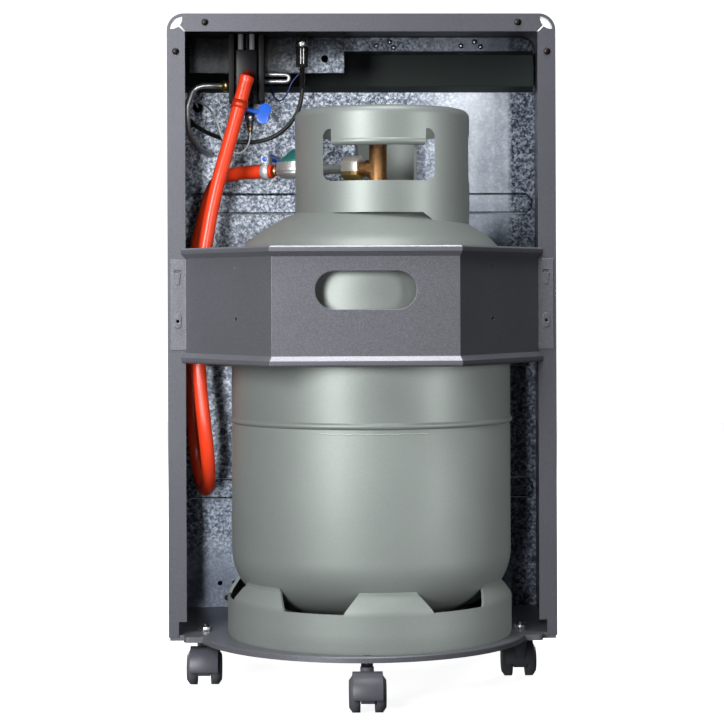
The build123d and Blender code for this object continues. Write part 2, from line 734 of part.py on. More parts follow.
def pressure_shape(shrink):
    """Revolved bottle, smaller all round by the wall where shrink is set."""
    radius = BOTTLE_R - shrink
    knuckle = KNUCKLE_R - shrink
    seam = BOTTLE_LOW_Z + SEAM_UP
    top = dome_points(radius, knuckle, DOME_HIGH - shrink, 1, BOTTLE_HIGH_Z)
    low = dome_points(radius, knuckle, DOME_LOW - shrink, -1, BOTTLE_LOW_Z)
    waist = [(radius, seam - SEAM_HALF), (radius - SEAM_DEEP, seam), (radius, seam + SEAM_HALF)]
    return lathe([*low[::-1], *waist, *top], Plane(origin=(BOTTLE_X, BOTTLE_Y, 0)), BOTTLE_FLATS)


def bottle_body():
    """Welded steel gas bottle with a pressed waist seam and a threaded neck, drawn solid."""
    body = pressure_shape(0)
    body += rod((NECK_X, BOTTLE_Y, CROWN_Z - NECK_R / 2), (0, 0, 1), NECK_H + NECK_R / 2, NECK_R)
    low = NECK_TOP_Z - NECK_THREAD_DEPTH - SIDE_FIT
    return body - bore((NECK_X, BOTTLE_Y, low), (0, 0, 1), NECK_THREAD_DEPTH + 5.0, NECK_THREAD_R + RUN_FIT)


def dome_radius_at(height, rise):
    """Radius of the bottle's shoulder this far above or below its straight wall."""
    side = BOTTLE_R - KNUCKLE_R
    crown = dome_r(BOTTLE_R, height)
    middle = height - crown
    tilt = math.atan2(side, -middle)
    if rise <= KNUCKLE_R * math.cos(tilt):
        return side + math.sqrt(KNUCKLE_R ** 2 - rise ** 2)
    return math.sqrt(crown ** 2 - (rise - middle) ** 2)


def dome_height_at(height, radius):
    """Rise of the dome's crown surface at this radius."""
    crown = dome_r(BOTTLE_R, height)
    return height - crown + math.sqrt(crown ** 2 - radius ** 2)


def radial_cut(outline, turn, reach, centre):
    """Extrude an outline outward from an upright axis, turned round from the rear."""
    angle = math.radians(turn)
    out = Vector(math.sin(angle), -math.cos(angle), 0)
    across = Vector(math.cos(angle), math.sin(angle), 0)
    lay = Plane(origin=centre, x_dir=across, z_dir=out)
    return extrude(lay * outline, reach)


def bottle_foot_ring():
    """Rolled steel foot, waisted at the top and cut by vent windows."""
    high = TRAY_TOP_Z + FOOT_H
    snug = dome_radius_at(DOME_LOW, BOTTLE_LOW_Z - high) + FOOT_SHEET + FOOT_OFFSET_X
    section = [
        (FOOT_R - 1.2, TRAY_TOP_Z), (FOOT_R, TRAY_TOP_Z + 6),
        (FOOT_R, TRAY_TOP_Z + FOOT_WAIST), (snug + 2.5, high - 6), (snug, high),
    ]
    centre_x = BOTTLE_X + FOOT_OFFSET_X
    ring = lathe(strip_points(section, FOOT_SHEET), Plane(origin=(centre_x, BOTTLE_Y, 0)), BOTTLE_FLATS)
    ring -= foot_relief()
    sill = TRAY_TOP_Z + FOOT_WINDOW_SILL
    rise = FOOT_H - FOOT_WINDOW_SILL + 1
    window = make_face(Polyline(
        (-FOOT_WINDOW_LOW_HALF, 0), (FOOT_WINDOW_LOW_HALF, 0),
        (FOOT_WINDOW_HIGH_HALF, rise), (-FOOT_WINDOW_HIGH_HALF, rise), close=True))
    for index in range(FOOT_WINDOWS):
        turn = FOOT_WINDOW_START + index * 360 / FOOT_WINDOWS
        ring -= radial_cut(window, turn, FOOT_R + 10, (centre_x, BOTTLE_Y, sill))
    return ring


def foot_relief():
    """Space that the bottle's lower dome takes inside the foot ring."""
    grown = BOTTLE_R + WELD_GAP
    low = dome_points(grown, KNUCKLE_R + WELD_GAP, DOME_LOW + WELD_GAP, -1, BOTTLE_LOW_Z)
    return lathe([*low[::-1], (0, BOTTLE_LOW_Z)], Plane(origin=(BOTTLE_X, BOTTLE_Y, 0)), BOTTLE_FLATS)


def bottle_collar():
    """Valve guard: a rolled collar with hand windows, a rolled grip and drain gaps."""
    high = CROWN_Z + GUARD_TOP
    outer = GUARD_R
    skirt = CROWN_Z - DOME_HIGH + dome_height_at(DOME_HIGH, GUARD_R + GUARD_X - BOTTLE_X) - 2 * GUARD_SHEET
    shoulder = high - GUARD_SHOULDER_R
    edge = outer - GUARD_SHOULDER_R
    rolled = []
    pressed = []
    for step in range(GUARD_BANDS + 1):
        angle = math.pi / 2 * step / GUARD_BANDS
        inner_r = GUARD_SHOULDER_R - GUARD_SHEET
        rolled.append((edge + GUARD_SHOULDER_R * math.cos(angle), shoulder + GUARD_SHOULDER_R * math.sin(angle)))
        pressed.append((edge + inner_r * math.cos(angle), shoulder + inner_r * math.sin(angle)))
    lip = edge - GUARD_LIP
    section = [
        (outer - GUARD_SHEET, skirt), (outer, skirt), *rolled, (lip, high), (lip, high - GUARD_SHEET),
        *pressed[::-1],
    ]
    collar = lathe(section, Plane(origin=(GUARD_X, BOTTLE_Y, 0)), GUARD_FLATS)
    collar -= pressure_gap()
    half_w = GUARD_R * math.sin(math.radians(WINDOW_HALF_ANGLE))
    middle = CROWN_Z + WINDOW_SILL + WINDOW_HEIGHT / 2
    window = soft_corners(2 * half_w, WINDOW_HEIGHT, WINDOW_R)
    grip = Pos(0, WINDOW_HEIGHT / 2) * Rectangle(2 * GRIP_HALF_W, 2 * GRIP_DROP)
    drain = make_face(Polyline(
        (-DRAIN_LOW_HALF, -20), (DRAIN_LOW_HALF, -20), (DRAIN_LOW_HALF, 0),
        (DRAIN_HIGH_HALF, DRAIN_H), (-DRAIN_HIGH_HALF, DRAIN_H), (-DRAIN_LOW_HALF, 0), close=True))
    foot = CROWN_Z - DOME_HIGH + dome_height_at(DOME_HIGH, GUARD_R)
    for index in range(WINDOW_COUNT):
        turn = WINDOW_TURN + index * 360 / WINDOW_COUNT
        shape = window - grip if index == 0 else window
        collar -= radial_cut(shape, turn, GUARD_R + 10, (GUARD_X, BOTTLE_Y, middle))
        collar -= radial_cut(drain, turn, GUARD_R + 10, (GUARD_X, BOTTLE_Y, foot - 3))
    return collar + hand_grip()


def pressure_gap():
    """The bottle's upper dome, grown by the weld gap."""
    grown = BOTTLE_R + WELD_GAP
    top = dome_points(grown, KNUCKLE_R + WELD_GAP, DOME_HIGH + WELD_GAP, 1, BOTTLE_HIGH_Z)
    return lathe([(0, BOTTLE_HIGH_Z), *top], Plane(origin=(BOTTLE_X, BOTTLE_Y, 0)), BOTTLE_FLATS)


def hand_grip():
    """Round roll along the lower edge of the hand grip, inside the rear window."""
    level = CROWN_Z + WINDOW_SILL + WINDOW_HEIGHT - GRIP_DROP + GRIP_R * 0.6
    path_r = GUARD_R - GUARD_SHEET / 2 - GRIP_R * 0.4
    half_angle = math.degrees(math.asin((GRIP_HALF_W - 1.0) / GUARD_R))
    start = Plane.XZ * Pos(path_r, level) * disc(GRIP_R)
    roll = revolve(start, Axis.Z, 2 * half_angle)
    return Pos(GUARD_X, BOTTLE_Y, 0) * Rot(0, 0, -90 + WINDOW_TURN - half_angle) * roll


# ---------------------------------------------------------------- retaining bar
def bar_section():
    """Upright section of the bar: flat web, a round-nosed bead top and bottom, lips turned in."""
    high = BAR_H
    bead = BAR_BEAD_H
    proud = BAR_BEAD_PROUD
    points = [
        (-BAR_LIP, 0.0), (proud - 1.5, 0.0), (proud, 1.8), (proud, bead * 0.55), (0.0, bead),
        (0.0, high - bead), (proud, high - bead * 0.55), (proud, high - 1.8), (proud - 1.5, high),
        (-BAR_LIP, high),
    ]
    return strip(points, BAR_SHEET)


def bar_panel(start, end):
    """One flat panel of the bar between two plan points, with its ends cut later."""
    run = Vector(end[0] - start[0], end[1] - start[1], 0)
    along = run.normalized()
    out = Vector(along.Y, -along.X, 0)
    origin = Vector(start[0], start[1], BAR_LOW_Z) - along * 3 * BAR_LIP
    lay = Plane(origin=origin, x_dir=out, z_dir=-along)
    return extrude(lay * bar_section(), -(run.length + 6 * BAR_LIP))


def half_space(point, direction, size=600.0):
    """A big upright block on one side of a vertical plane."""
    plane = Plane(origin=(point[0], point[1], BAR_LOW_Z + BAR_H / 2), z_dir=direction)
    return plane * Box(size, size, size, align=(Align.CENTER, Align.CENTER, Align.MIN))


def retaining_bar():
    """Folded steel bar across the opening: mitred panels, ears on the flange, hooks behind it."""
    fold_y = inward(-BAR_BULGE)
    corner = (BAR_FOLD_X, fold_y)
    root = (BAR_HALF_SPAN, REAR_Y - SEAT_GAP)
    centre = bar_panel((-BAR_FOLD_X, fold_y), corner)
    wing = bar_panel(corner, root)
    wing_dir = Vector(root[0] - corner[0], root[1] - corner[1], 0).normalized()
    mitre = (wing_dir + Vector(1, 0, 0)).normalized()
    centre -= half_space(corner, mitre)
    centre -= half_space((-corner[0], corner[1]), Vector(-mitre.X, mitre.Y, 0))
    wing -= half_space(corner, mitre * -1)
    wing -= half_space(root, Vector(0, 1, 0))
    face = REAR_Y - SEAT_GAP
    ear = block(BAR_HALF_SPAN - 1, EAR_OUT_X, face - BAR_SHEET, face, EAR_LOW_Z, EAR_LOW_Z + EAR_H)
    ear = ear - ear_cuts() + ear_details()
    side = wing + ear + bar_hooks()
    bar = centre + side + mirror(side, about=Plane.YZ)
    return bar - hand_hole() + hand_hole_hem() - wing_holes()


def ear_cuts():
    """Slot and cover-screw hole in the right ear."""
    middle = EAR_MIDDLE_X
    slot = block(middle - EAR_SLOT_W / 2, middle + EAR_SLOT_W / 2, REAR_Y - 5, REAR_Y + 5,
                 EAR_SLOT_Z - EAR_SLOT_H / 2, EAR_SLOT_Z + EAR_SLOT_H / 2)
    hole = Pos(middle, REAR_Y, EAR_PAD_Z) * Rot(90, 0, 0) * Cylinder(COVER_HOLE_R, 20)
    return slot + hole


def ear_details():
    """Tapered tongue below the slot and an oblong pad round the screw hole, both pressed outward."""
    middle = EAR_MIDDLE_X
    face = Plane(origin=(middle, REAR_Y - SEAT_GAP - BAR_SHEET, 0), x_dir=(1, 0, 0), z_dir=(0, -1, 0))
    top = EAR_SLOT_Z - EAR_SLOT_H / 2
    half = EAR_SLOT_W / 2
    tongue = make_face(Polyline(
        (-half, top), (half, top), (half / 2, top - EAR_TONGUE_H), (-half / 2, top - EAR_TONGUE_H), close=True))
    pad = Pos(0, EAR_PAD_Z) * soft_corners(EAR_PAD_W, EAR_PAD_H, EAR_PAD_W / 2 - 0.1)
    pad -= Pos(0, EAR_PAD_Z) * Circle(COVER_HOLE_R)
    return extrude(face * tongue, BAR_SHEET * 0.7) + extrude(face * pad, BAR_SHEET * 0.6)


def bar_hooks():
    """Hooks behind the right ear that pass through the flange and hang behind it."""
    hooks = []
    for low in HOOK_LEVELS:
        x0 = HOOK_X - HOOK_THICK / 2
        x1 = HOOK_X + HOOK_THICK / 2
        behind = REAR_Y + SHEET + HOOK_GAP
        neck = block(x0, x1, REAR_Y - BAR_SHEET / 2, behind, low, low + HOOK_H)
        leg = block(x0, x1, behind, inward(HOOK_REACH), low - HOOK_LEG, low + HOOK_H)
        hooks.append(neck + leg)
    return hooks[0] + hooks[1]


def hand_hole():
    """Long round-ended opening in the middle panel."""
    outline = SlotOverall(HAND_HOLE_W, HAND_HOLE_H)
    lay = Plane(origin=(0, inward(-BAR_BULGE), HAND_HOLE_Z), x_dir=(1, 0, 0), z_dir=(0, -1, 0))
    return extrude(lay * outline, 3 * BAR_SHEET, both=True)


def hand_hole_hem():
    """Edge of the hand hole, turned inward all round."""
    outline = SlotOverall(HAND_HOLE_W + 2 * BAR_SHEET, HAND_HOLE_H + 2 * BAR_SHEET)
    outline -= SlotOverall(HAND_HOLE_W, HAND_HOLE_H)
    lay = Plane(origin=(0, inward(-BAR_BULGE), HAND_HOLE_Z), x_dir=(1, 0, 0), z_dir=(0, 1, 0))
    return extrude(lay * outline, HAND_HOLE_HEM)


def wing_holes():
    """A hole and a punched dimple in each wing."""
    corner = Vector(BAR_FOLD_X, inward(-BAR_BULGE), 0)
    root = Vector(BAR_HALF_SPAN, REAR_Y, 0)
    along = (root - corner).normalized()
    out = Vector(along.Y, -along.X, 0)
    share = (WING_HOLE_X - BAR_FOLD_X) / (BAR_HALF_SPAN - BAR_FOLD_X)
    place = corner + (root - corner) * share
    cuts = []
    for level, reach in ((WING_HOLE_Z, 6.0), (WING_DIMPLE_Z, BAR_SHEET * 0.6)):
        start = Vector(place.X, place.Y, level) + out * 3
        cut = bore(start, out * -1, 3 + reach, WING_HOLE_R)
        cuts += both_sides(cut)
    return cuts


# ---------------------------------------------------------------- bottle valve and regulator
def bottle_valve():
    """Brass valve: threaded shank, body with a side outlet, and a gland for the spindle."""
    thread = rod((NECK_X, BOTTLE_Y, NECK_TOP_Z - NECK_THREAD_DEPTH), (0, 0, 1), NECK_THREAD_DEPTH, NECK_THREAD_R)
    base = rod((NECK_X, BOTTLE_Y, NECK_TOP_Z + SEAT_GAP), (0, 0, 1), 5.0, NECK_R - 1)
    neck = rod((NECK_X, BOTTLE_Y, NECK_TOP_Z - 1), (0, 0, 1), 3.0, NECK_THREAD_R)
    body = rod((NECK_X, BOTTLE_Y, NECK_TOP_Z), (0, 0, 1), VALVE_H, VALVE_R)
    gland = hexagon((NECK_X, BOTTLE_Y, NECK_TOP_Z + VALVE_H), (0, 0, 1), 6.0, 1.7 * VALVE_R)
    outlet = rod(VALVE_AXIS, OUTLET_DIR, VALVE_R + OUTLET_REACH, OUTLET_R)
    collar = rod(VALVE_AXIS, OUTLET_DIR, VALVE_R + 3.0, OUTLET_R + 2)
    valve = thread + neck + base + body + gland + outlet + collar
    top = NECK_TOP_Z + VALVE_H + 6.0
    return valve - bore((NECK_X, BOTTLE_Y, top - SPINDLE_H), (0, 0, 1), SPINDLE_H + 1, SPINDLE_R + RUN_FIT)


def valve_handwheel():
    """Lobed handwheel with its spindle, on top of the bottle valve."""
    top = NECK_TOP_Z + VALVE_H + 6.0
    low = top + SIDE_FIT
    wheel = disc(HANDWHEEL_R)
    for index in range(HANDWHEEL_LOBES):
        angle = math.radians(index * 360 / HANDWHEEL_LOBES)
        reach = HANDWHEEL_R + 4.0
        wheel -= Pos(reach * math.cos(angle), reach * math.sin(angle)) * eye(6.5)
    rim = Pos(NECK_X, BOTTLE_Y, low) * extrude(wheel, HANDWHEEL_H)
    rim -= bore((NECK_X, BOTTLE_Y, low + HANDWHEEL_H - 2.5), (0, 0, 1), 5, HANDWHEEL_R * 0.55)
    return rim + rod((NECK_X, BOTTLE_Y, top - SPINDLE_H + 1), (0, 0, 1), SPINDLE_H + 1, SPINDLE_R)


def along_outlet(distance):
    """A point on the outlet's axis, this far from the valve's axis."""
    return VALVE_AXIS + OUTLET_DIR * distance


UNION_START = VALVE_R + OUTLET_REACH - UNION_L + 9.0
STEM_START = VALVE_R + OUTLET_REACH + SEAT_GAP
REGULATOR_MIDDLE = STEM_START + STEM_TUBE_L + REGULATOR_R
TAIL_START = REGULATOR_MIDDLE + REGULATOR_R + 2.0 + SEAT_GAP
HOSE_END = TAIL_START + TAIL_L
HOSE_RISE = HOSE_END + 54.0   # where the hose leaves the outlet's line


def union_nut():
    """Hexagon union nut that draws the regulator onto the valve's outlet."""
    nut = hexagon(along_outlet(UNION_START), OUTLET_DIR, UNION_L, UNION_FLATS, 30)
    nut -= bore(along_outlet(UNION_START - 1), OUTLET_DIR, STEM_START - UNION_START + 4.2, OUTLET_R + RUN_FIT)
    return nut - bore(along_outlet(UNION_START), OUTLET_DIR, UNION_L + 2, STEM_TUBE_R + RUN_FIT)


def regulator_body():
    """Low-pressure regulator: inlet stem with its shoulder, round die-cast body and hose tail boss."""
    centre = along_outlet(REGULATOR_MIDDLE)
    stem = rod(along_outlet(STEM_START), OUTLET_DIR, STEM_TUBE_L + 8, STEM_TUBE_R)
    shoulder = rod(along_outlet(STEM_START), OUTLET_DIR, 3.0, OUTLET_R - 0.3)
    low = centre - Vector(0, 0, REGULATOR_H / 2)
    pan = turned(low, (0, 0, 1), [(0, REGULATOR_R - 4), (4, REGULATOR_R), (REGULATOR_H, REGULATOR_R)])
    flange = rod(centre - Vector(0, 0, 1.5), (0, 0, 1), 3.0, REGULATOR_R + 2.0)
    return stem + shoulder + pan + flange


def regulator_cap():
    """Round cap over the regulator's spring, on top of the body."""
    centre = along_outlet(REGULATOR_MIDDLE)
    low = centre + Vector(0, 0, REGULATOR_H / 2 + SEAT_GAP)
    rows = [(0, REGULATOR_CAP_R), (REGULATOR_CAP_RIM, REGULATOR_CAP_R), (REGULATOR_CAP_H, REGULATOR_CAP_TOP_R)]
    return turned(low, (0, 0, 1), rows)


def barb(start, direction, length, root_r, ribs):
    """Hose tail with saw-tooth ribs, widest towards its root."""
    pitch = length / ribs
    rows = []
    for index in range(ribs):
        rows.append((index * pitch, root_r + TAIL_RIB))
        rows.append(((index + 1) * pitch, root_r))
    return turned(start, direction, rows)


def hose_tail():
    """Ribbed outlet of the regulator, ending where the hose begins."""
    return barb(along_outlet(TAIL_START), OUTLET_DIR, TAIL_L - HOSE_BORE_GAP, TAIL_R, TAIL_RIBS)


# ---------------------------------------------------------------- controls
def control_pan():
    """Pressed pan let into the top panel, with a rim held under the panel."""
    near = inward(PAN_NEAR_DEPTH)
    middle = Pos(PAN_X, near + PAN_DEPTH / 2, 0)
    slack = 2 * WALL_GAP
    outer = soft_corners(PAN_WIDTH - slack, PAN_DEPTH - slack, PAN_R - WALL_GAP)
    trim = 2 * SHEET + slack
    inner = soft_corners(PAN_WIDTH - trim, PAN_DEPTH - trim, PAN_R - WALL_GAP - SHEET)
    rim = soft_corners(PAN_WIDTH + 2 * PAN_LIP, PAN_DEPTH + 2 * PAN_LIP, PAN_R + PAN_LIP)
    flat_end = CORNER_R - HALF_W - 1.0 - PAN_X
    rim -= Pos(flat_end - PAN_DEPTH, 0) * Rectangle(2 * PAN_DEPTH, 2 * PAN_DEPTH)
    low = PAN_FLOOR_Z - SHEET
    high = ROOF_Z - SEAT_GAP
    pan = extrude(Plane.XY.offset(low) * outer, high - low)
    pan += extrude(Plane.XY.offset(high - SHEET) * rim, SHEET)
    pan -= extrude(Plane.XY.offset(PAN_FLOOR_Z) * inner, 2 * PAN_RECESS)
    pan = middle * pan
    for x, depth, radius in pan_holes():
        pan -= bore((x, inward(depth), low - 1), (0, 0, 1), 4 * SHEET, radius)
    return pan


def pan_holes():
    """Centres, depths and radii of the holes in the pan's floor."""
    posts = [(VALVE_BLOCK_X + side * POST_PITCH / 2, VALVE_BLOCK_DEPTH - 8, SCREW_SHANK_R + RUN_FIT)
             for side in (-1, 1)]
    shaft = (VALVE_BLOCK_X, VALVE_BLOCK_DEPTH, SHAFT_R + RUN_FIT)
    igniter = (IGNITER_X, IGNITER_DEPTH, IGNITER_NECK_R + RUN_FIT)
    return posts + [shaft, igniter]


def control_knob():
    """Fluted knob with a grip bar, on the gas valve's shaft."""
    centre = Pos(VALVE_BLOCK_X, inward(VALVE_BLOCK_DEPTH), PAN_FLOOR_Z + SIDE_FIT)
    skirt = centre * extrude(disc(KNOB_R), 4.0)
    crown = centre * turned((0, 0, 4.0), (0, 0, 1), [(0, KNOB_R - 2), (KNOB_H - 4, KNOB_R - 4)])
    for side in (-1, 1):
        reach = KNOB_GRIP_W / 2
        cut = Pos(0, side * (reach + KNOB_R), KNOB_H / 2 + 4.5) * Box(3 * KNOB_R, 2 * KNOB_R, KNOB_H - 3)
        crown -= centre * cut
    shaft_low = BLOCK_HIGH_Z - 12.0
    shaft = rod((VALVE_BLOCK_X, inward(VALVE_BLOCK_DEPTH), shaft_low), (0, 0, 1), PAN_FLOOR_Z + 2 - shaft_low, SHAFT_R)
    return skirt + crown + shaft


def valve_block():
    """Die-cast gas valve hanging under the pan on two posts."""
    x0 = VALVE_BLOCK_X - BLOCK_W / 2
    y0 = inward(VALVE_BLOCK_DEPTH - BLOCK_D / 2)
    body = block(x0, x0 + BLOCK_W, y0, y0 + BLOCK_D, BLOCK_LOW_Z, BLOCK_HIGH_Z)
    body = chamfer(body.edges().filter_by(Axis.Z).group_by(Axis.Y)[0], 1.5)
    for side in (-1, 1):
        x = VALVE_BLOCK_X + side * POST_PITCH / 2
        y = inward(VALVE_BLOCK_DEPTH - 8)
        body += rod((x, y, BLOCK_HIGH_Z - 1), (0, 0, 1), PAN_FLOOR_Z - SHEET - SEAT_GAP - BLOCK_HIGH_Z + 1, POST_R)
    bore_low = BLOCK_HIGH_Z - 12.0 - SIDE_FIT
    socket = bore((VALVE_BLOCK_X, inward(VALVE_BLOCK_DEPTH), bore_low), (0, 0, 1), 40, SHAFT_R + RUN_FIT)
    return body - socket


def valve_channel():
    """Black channel that shields both sides and the back of the gas valve."""
    x0 = VALVE_BLOCK_X - CHANNEL_W / 2
    x1 = VALVE_BLOCK_X + CHANNEL_W / 2
    near = inward(VALVE_BLOCK_DEPTH - BLOCK_D / 2)
    back = inward(BRACKET_DEPTH) - SEAT_GAP
    high = PAN_FLOOR_Z - SHEET - SEAT_GAP
    shell = block(x0, x1, near, back, CHANNEL_LOW_Z, high)
    side = (CHANNEL_W - BLOCK_W) / 2 - SEAT_GAP - 1.0
    inside = block(x0 + side, x1 - side, near - 1, back - CHANNEL_SHEET / 2, CHANNEL_LOW_Z - 1, high + 1)
    return shell - inside - channel_ports()


def control_bracket():
    """Galvanised plate hung from the pan, behind the valve and the igniter."""
    y = inward(BRACKET_DEPTH)
    high = PAN_FLOOR_Z - SHEET - SEAT_GAP
    section = [(y, BRACKET_LOW_Z), (y, high), (y + 16.0, high)]
    lay = Plane(origin=(BRACKET_LEFT_X, 0, 0), x_dir=(0, 1, 0), z_dir=(1, 0, 0))
    plate = extrude(lay * strip([*reversed(section)], BRACKET_SHEET), BRACKET_RIGHT_X - BRACKET_LEFT_X)
    hole = bore((-39.0, y - 5, 688.0), (0, 1, 0), 10, 4.0)
    lip = block(BRACKET_LEFT_X, BRACKET_RIGHT_X, y, y + 5.0, BRACKET_LOW_Z, BRACKET_LOW_Z + BRACKET_SHEET)
    return plate - hole + lip


SPIGOT_OUT = 15.0            # face of the gas valve to the middle of the elbow
SPIGOT_DIR = Vector(-0.25, -0.13, -0.96).normalized()
SPIGOT_ROOT_R = 5.4
SPIGOT_L = 7.5
SPIGOT_START = Vector(VALVE_BLOCK_X + 1.5, inward(VALVE_BLOCK_DEPTH - BLOCK_D / 2), BLOCK_LOW_Z + 17.0)
SPIGOT_ELBOW = SPIGOT_START + Vector(0, -SPIGOT_OUT, 0)
UPPER_HOSE_END = SPIGOT_ELBOW + SPIGOT_DIR * SPIGOT_L


def inlet_spigot():
    """Elbow on the gas valve's face that the hose hangs from."""
    flange = rod(SPIGOT_START, (0, -1, 0), 3.0, SPIGOT_ROOT_R + 2)
    end = SPIGOT_ELBOW + SPIGOT_DIR * (SPIGOT_L - HOSE_BORE_GAP)
    elbow = bent_tube([SPIGOT_START, SPIGOT_ELBOW, end], [SPIGOT_ROOT_R], SPIGOT_ROOT_R - 0.8)
    return flange + elbow - half_back(SPIGOT_START.Y)


def half_back(y):
    """Everything in front of this Y, to trim a round piece flat against a face."""
    return block(-HALF_W, HALF_W, y, y + 100, 0, BODY_TOP_Z)


def piezo_igniter():
    """Black igniter body with its narrow high-voltage terminal."""
    place = (IGNITER_X, inward(IGNITER_DEPTH))
    neck_low = PAN_FLOOR_Z - SHEET - SEAT_GAP - 8.0 - IGNITER_NUT_H
    neck = rod((*place, neck_low), (0, 0, 1), PAN_FLOOR_Z - neck_low, IGNITER_NECK_R)
    body_low = neck_low - IGNITER_BODY_H
    body = rod((*place, body_low), (0, 0, 1), IGNITER_BODY_H, IGNITER_R)
    tip = rod((*place, body_low - IGNITER_TIP_H), (0, 0, 1), IGNITER_TIP_H + 1, IGNITER_TIP_R)
    shaft = bore((*place, PAN_FLOOR_Z - 10.0), (0, 0, 1), 30, BUTTON_SHAFT_R + RUN_FIT)
    return neck + body + tip - shaft


IGNITER_TIP_Z = PAN_FLOOR_Z - SHEET - SEAT_GAP - 8.0 - IGNITER_NUT_H - IGNITER_BODY_H - IGNITER_TIP_H


def piezo_nut():
    """Bright nut that clamps the igniter under the pan, on a spacer."""
    place = (IGNITER_X, inward(IGNITER_DEPTH))
    top = PAN_FLOOR_Z - SHEET - SEAT_GAP
    nut = hexagon((*place, top - 8.0 - IGNITER_NUT_H + SEAT_GAP), (0, 0, 1), IGNITER_NUT_H - SEAT_GAP, IGNITER_NUT_FLATS)
    spacer = rod((*place, top - 8.5), (0, 0, 1), 8.5, IGNITER_NECK_R + 1.2)
    return nut + spacer - bore((*place, top - 30), (0, 0, 1), 40, IGNITER_NECK_R + RUN_FIT)


def igniter_button():
    """Round push button, flush in its hole over the igniter."""
    place = (IGNITER_X, inward(IGNITER_DEPTH))
    low = PAN_FLOOR_Z + BUTTON_TRAVEL + SIDE_FIT
    cap = turned((*place, low), (0, 0, 1), [(0, BUTTON_R), (BUTTON_H - 1.2, BUTTON_R), (BUTTON_H, BUTTON_R - 1.2)])
    return cap + rod((*place, PAN_FLOOR_Z - 4.0), (0, 0, 1), low - PAN_FLOOR_Z + 5, BUTTON_SHAFT_R)


def corner_of(radius):
    """Corner radius of the flat-sided section with the area of a circle of this radius."""
    sides = sides_for(radius)
    return radius * math.sqrt(2 * math.pi / (sides * math.sin(2 * math.pi / sides)))


def round_section(radius):
    """Flat-sided section with the area of a circle of this radius."""
    return RegularPolygon(corner_of(radius), sides_for(radius))


def tube(points, radii, radius):
    """A tube along straight runs joined by tangent arcs."""
    path = FilletPolyline(*points, radius=radii)
    return sweep(Plane(origin=path @ 0, z_dir=path % 0) * round_section(radius), path)


def bent_tube(points, radii, radius):
    """A stiff small tube, its bends made of short mitred lengths."""
    path = FilletPolyline(*points, radius=radii)
    stops = [path @ 0]
    for edge in path.edges():
        count = 1
        if edge.geom_type == GeomType.CIRCLE:
            count = max(1, round(math.degrees(edge.length / edge.radius) / BEND_STEP))
        ends = [edge @ (step / count) for step in range(count + 1)]
        if (ends[0] - stops[-1]).length > (ends[-1] - stops[-1]).length:
            ends.reverse()
        stops += [end for end in ends[1:] if (end - stops[-1]).length > radius / 4]
    return wire(stops, radius)


def wire(points, radius):
    """A stiff wire along straight runs with mitred corners."""
    path = Polyline(*points)
    section = Plane(origin=path @ 0, z_dir=path % 0) * round_section(radius)
    return sweep(section, path, transition=Transition.RIGHT)


# ---------------------------------------------------------------- hoses, leads and tubes
LEAD_R = 2.4
CLIP_DROP = 27.0             # upper clip's centre below the hose's end
CLIP_SETBACK = 8.0           # lower clip's centre from the hose's other end
WIRE_THIN_R = 0.9
THERMO_LEAD_R = 1.1
GROMMET_R = 6.0
GROMMET_H = 5.0
LEAD_GROMMET_X = -197.0
LEAD_GROMMET_Z = 622.0
THERMO_GROMMET_X = -187.0
THERMO_GROMMET_Z = 641.0
UNION_X = -123.0
UNION_LOW_Z = 611.0
FERRULE_H = 8.0
FITTING_Z = 656.0
FITTING_DEPTH = 92.0
FITTING_L = 9.0
LOOP_Z = 667.6
LOOP_PITCH = 7.8
BYPASS_R = 2.2


def corner_radii(points):
    """Largest tangent arcs: 0.45 of the shorter run at each corner, over the half turn's tangent."""
    radii = []
    for before, here, after in zip(points, points[1:], points[2:]):
        turn = math.radians((here - before).get_angle(after - here))
        shorter = min((here - before).length, (after - here).length)
        radii.append(0.45 * shorter / math.tan(turn / 2))
    return radii


def cord(name, points, radius):
    """A flexible cord's solid, with its bends and volume printed."""
    radii = corner_radii(points)
    path = FilletPolyline(*points, radius=radii)
    solid = tube(points, radii, radius)
    expected = math.pi * radius ** 2 * path.length
    tight = min(radii) / (2 * radius)
    print(f"{name}: length {path.length:.0f} mm, tightest bend {min(radii):.0f} mm "
          f"({tight:.1f} diameters), volume {solid.volume / expected:.4f} of section times length")
    return solid


def placed(rows):
    """Points given as (x, depth inside the flange, z)."""
    return [Vector(x, inward(depth), z) for x, depth, z in rows]


HOSE_ROUTE = [UPPER_HOSE_END, UPPER_HOSE_END + SPIGOT_DIR * 58] + placed([
    (-162.8, 32.0, 524.7),
    (-180.0, 23.0, 415.0),
    (-180.5, 19.0, 330.0),
    (-177.0, 18.0, 251.5),
    (-175.5, 66.0, 203.5),
    (-184.0, 134.0, 203.5),
    (-192.5, 181.0, 251.5),
    (-197.0, 183.0, 372.0),
    (-192.0, 179.0, 465.0),
    (-178.0, 170.0, 518.0),
    (-166.0, 140.0, 549.0),
]) + [along_outlet(HOSE_RISE), along_outlet(HOSE_END)]

LEAD_ROUTE = placed([
    (IGNITER_X, IGNITER_DEPTH, IGNITER_TIP_Z - HOSE_BORE_GAP),
    (-65.5, 80.5, 632.0),
    (-79.0, 83.0, 610.0),
    (-101.0, 87.0, 594.5),
    (-132.0, 91.0, 591.0),
    (-166.0, 95.0, 600.0),
    (-191.0, 112.0, 616.0),
    (-197.0, 138.0, 621.0),
    (LEAD_GROMMET_X, 166.0, LEAD_GROMMET_Z),
    (LEAD_GROMMET_X, DIVIDER_DEPTH - GROMMET_H - HOSE_BORE_GAP, LEAD_GROMMET_Z),
])

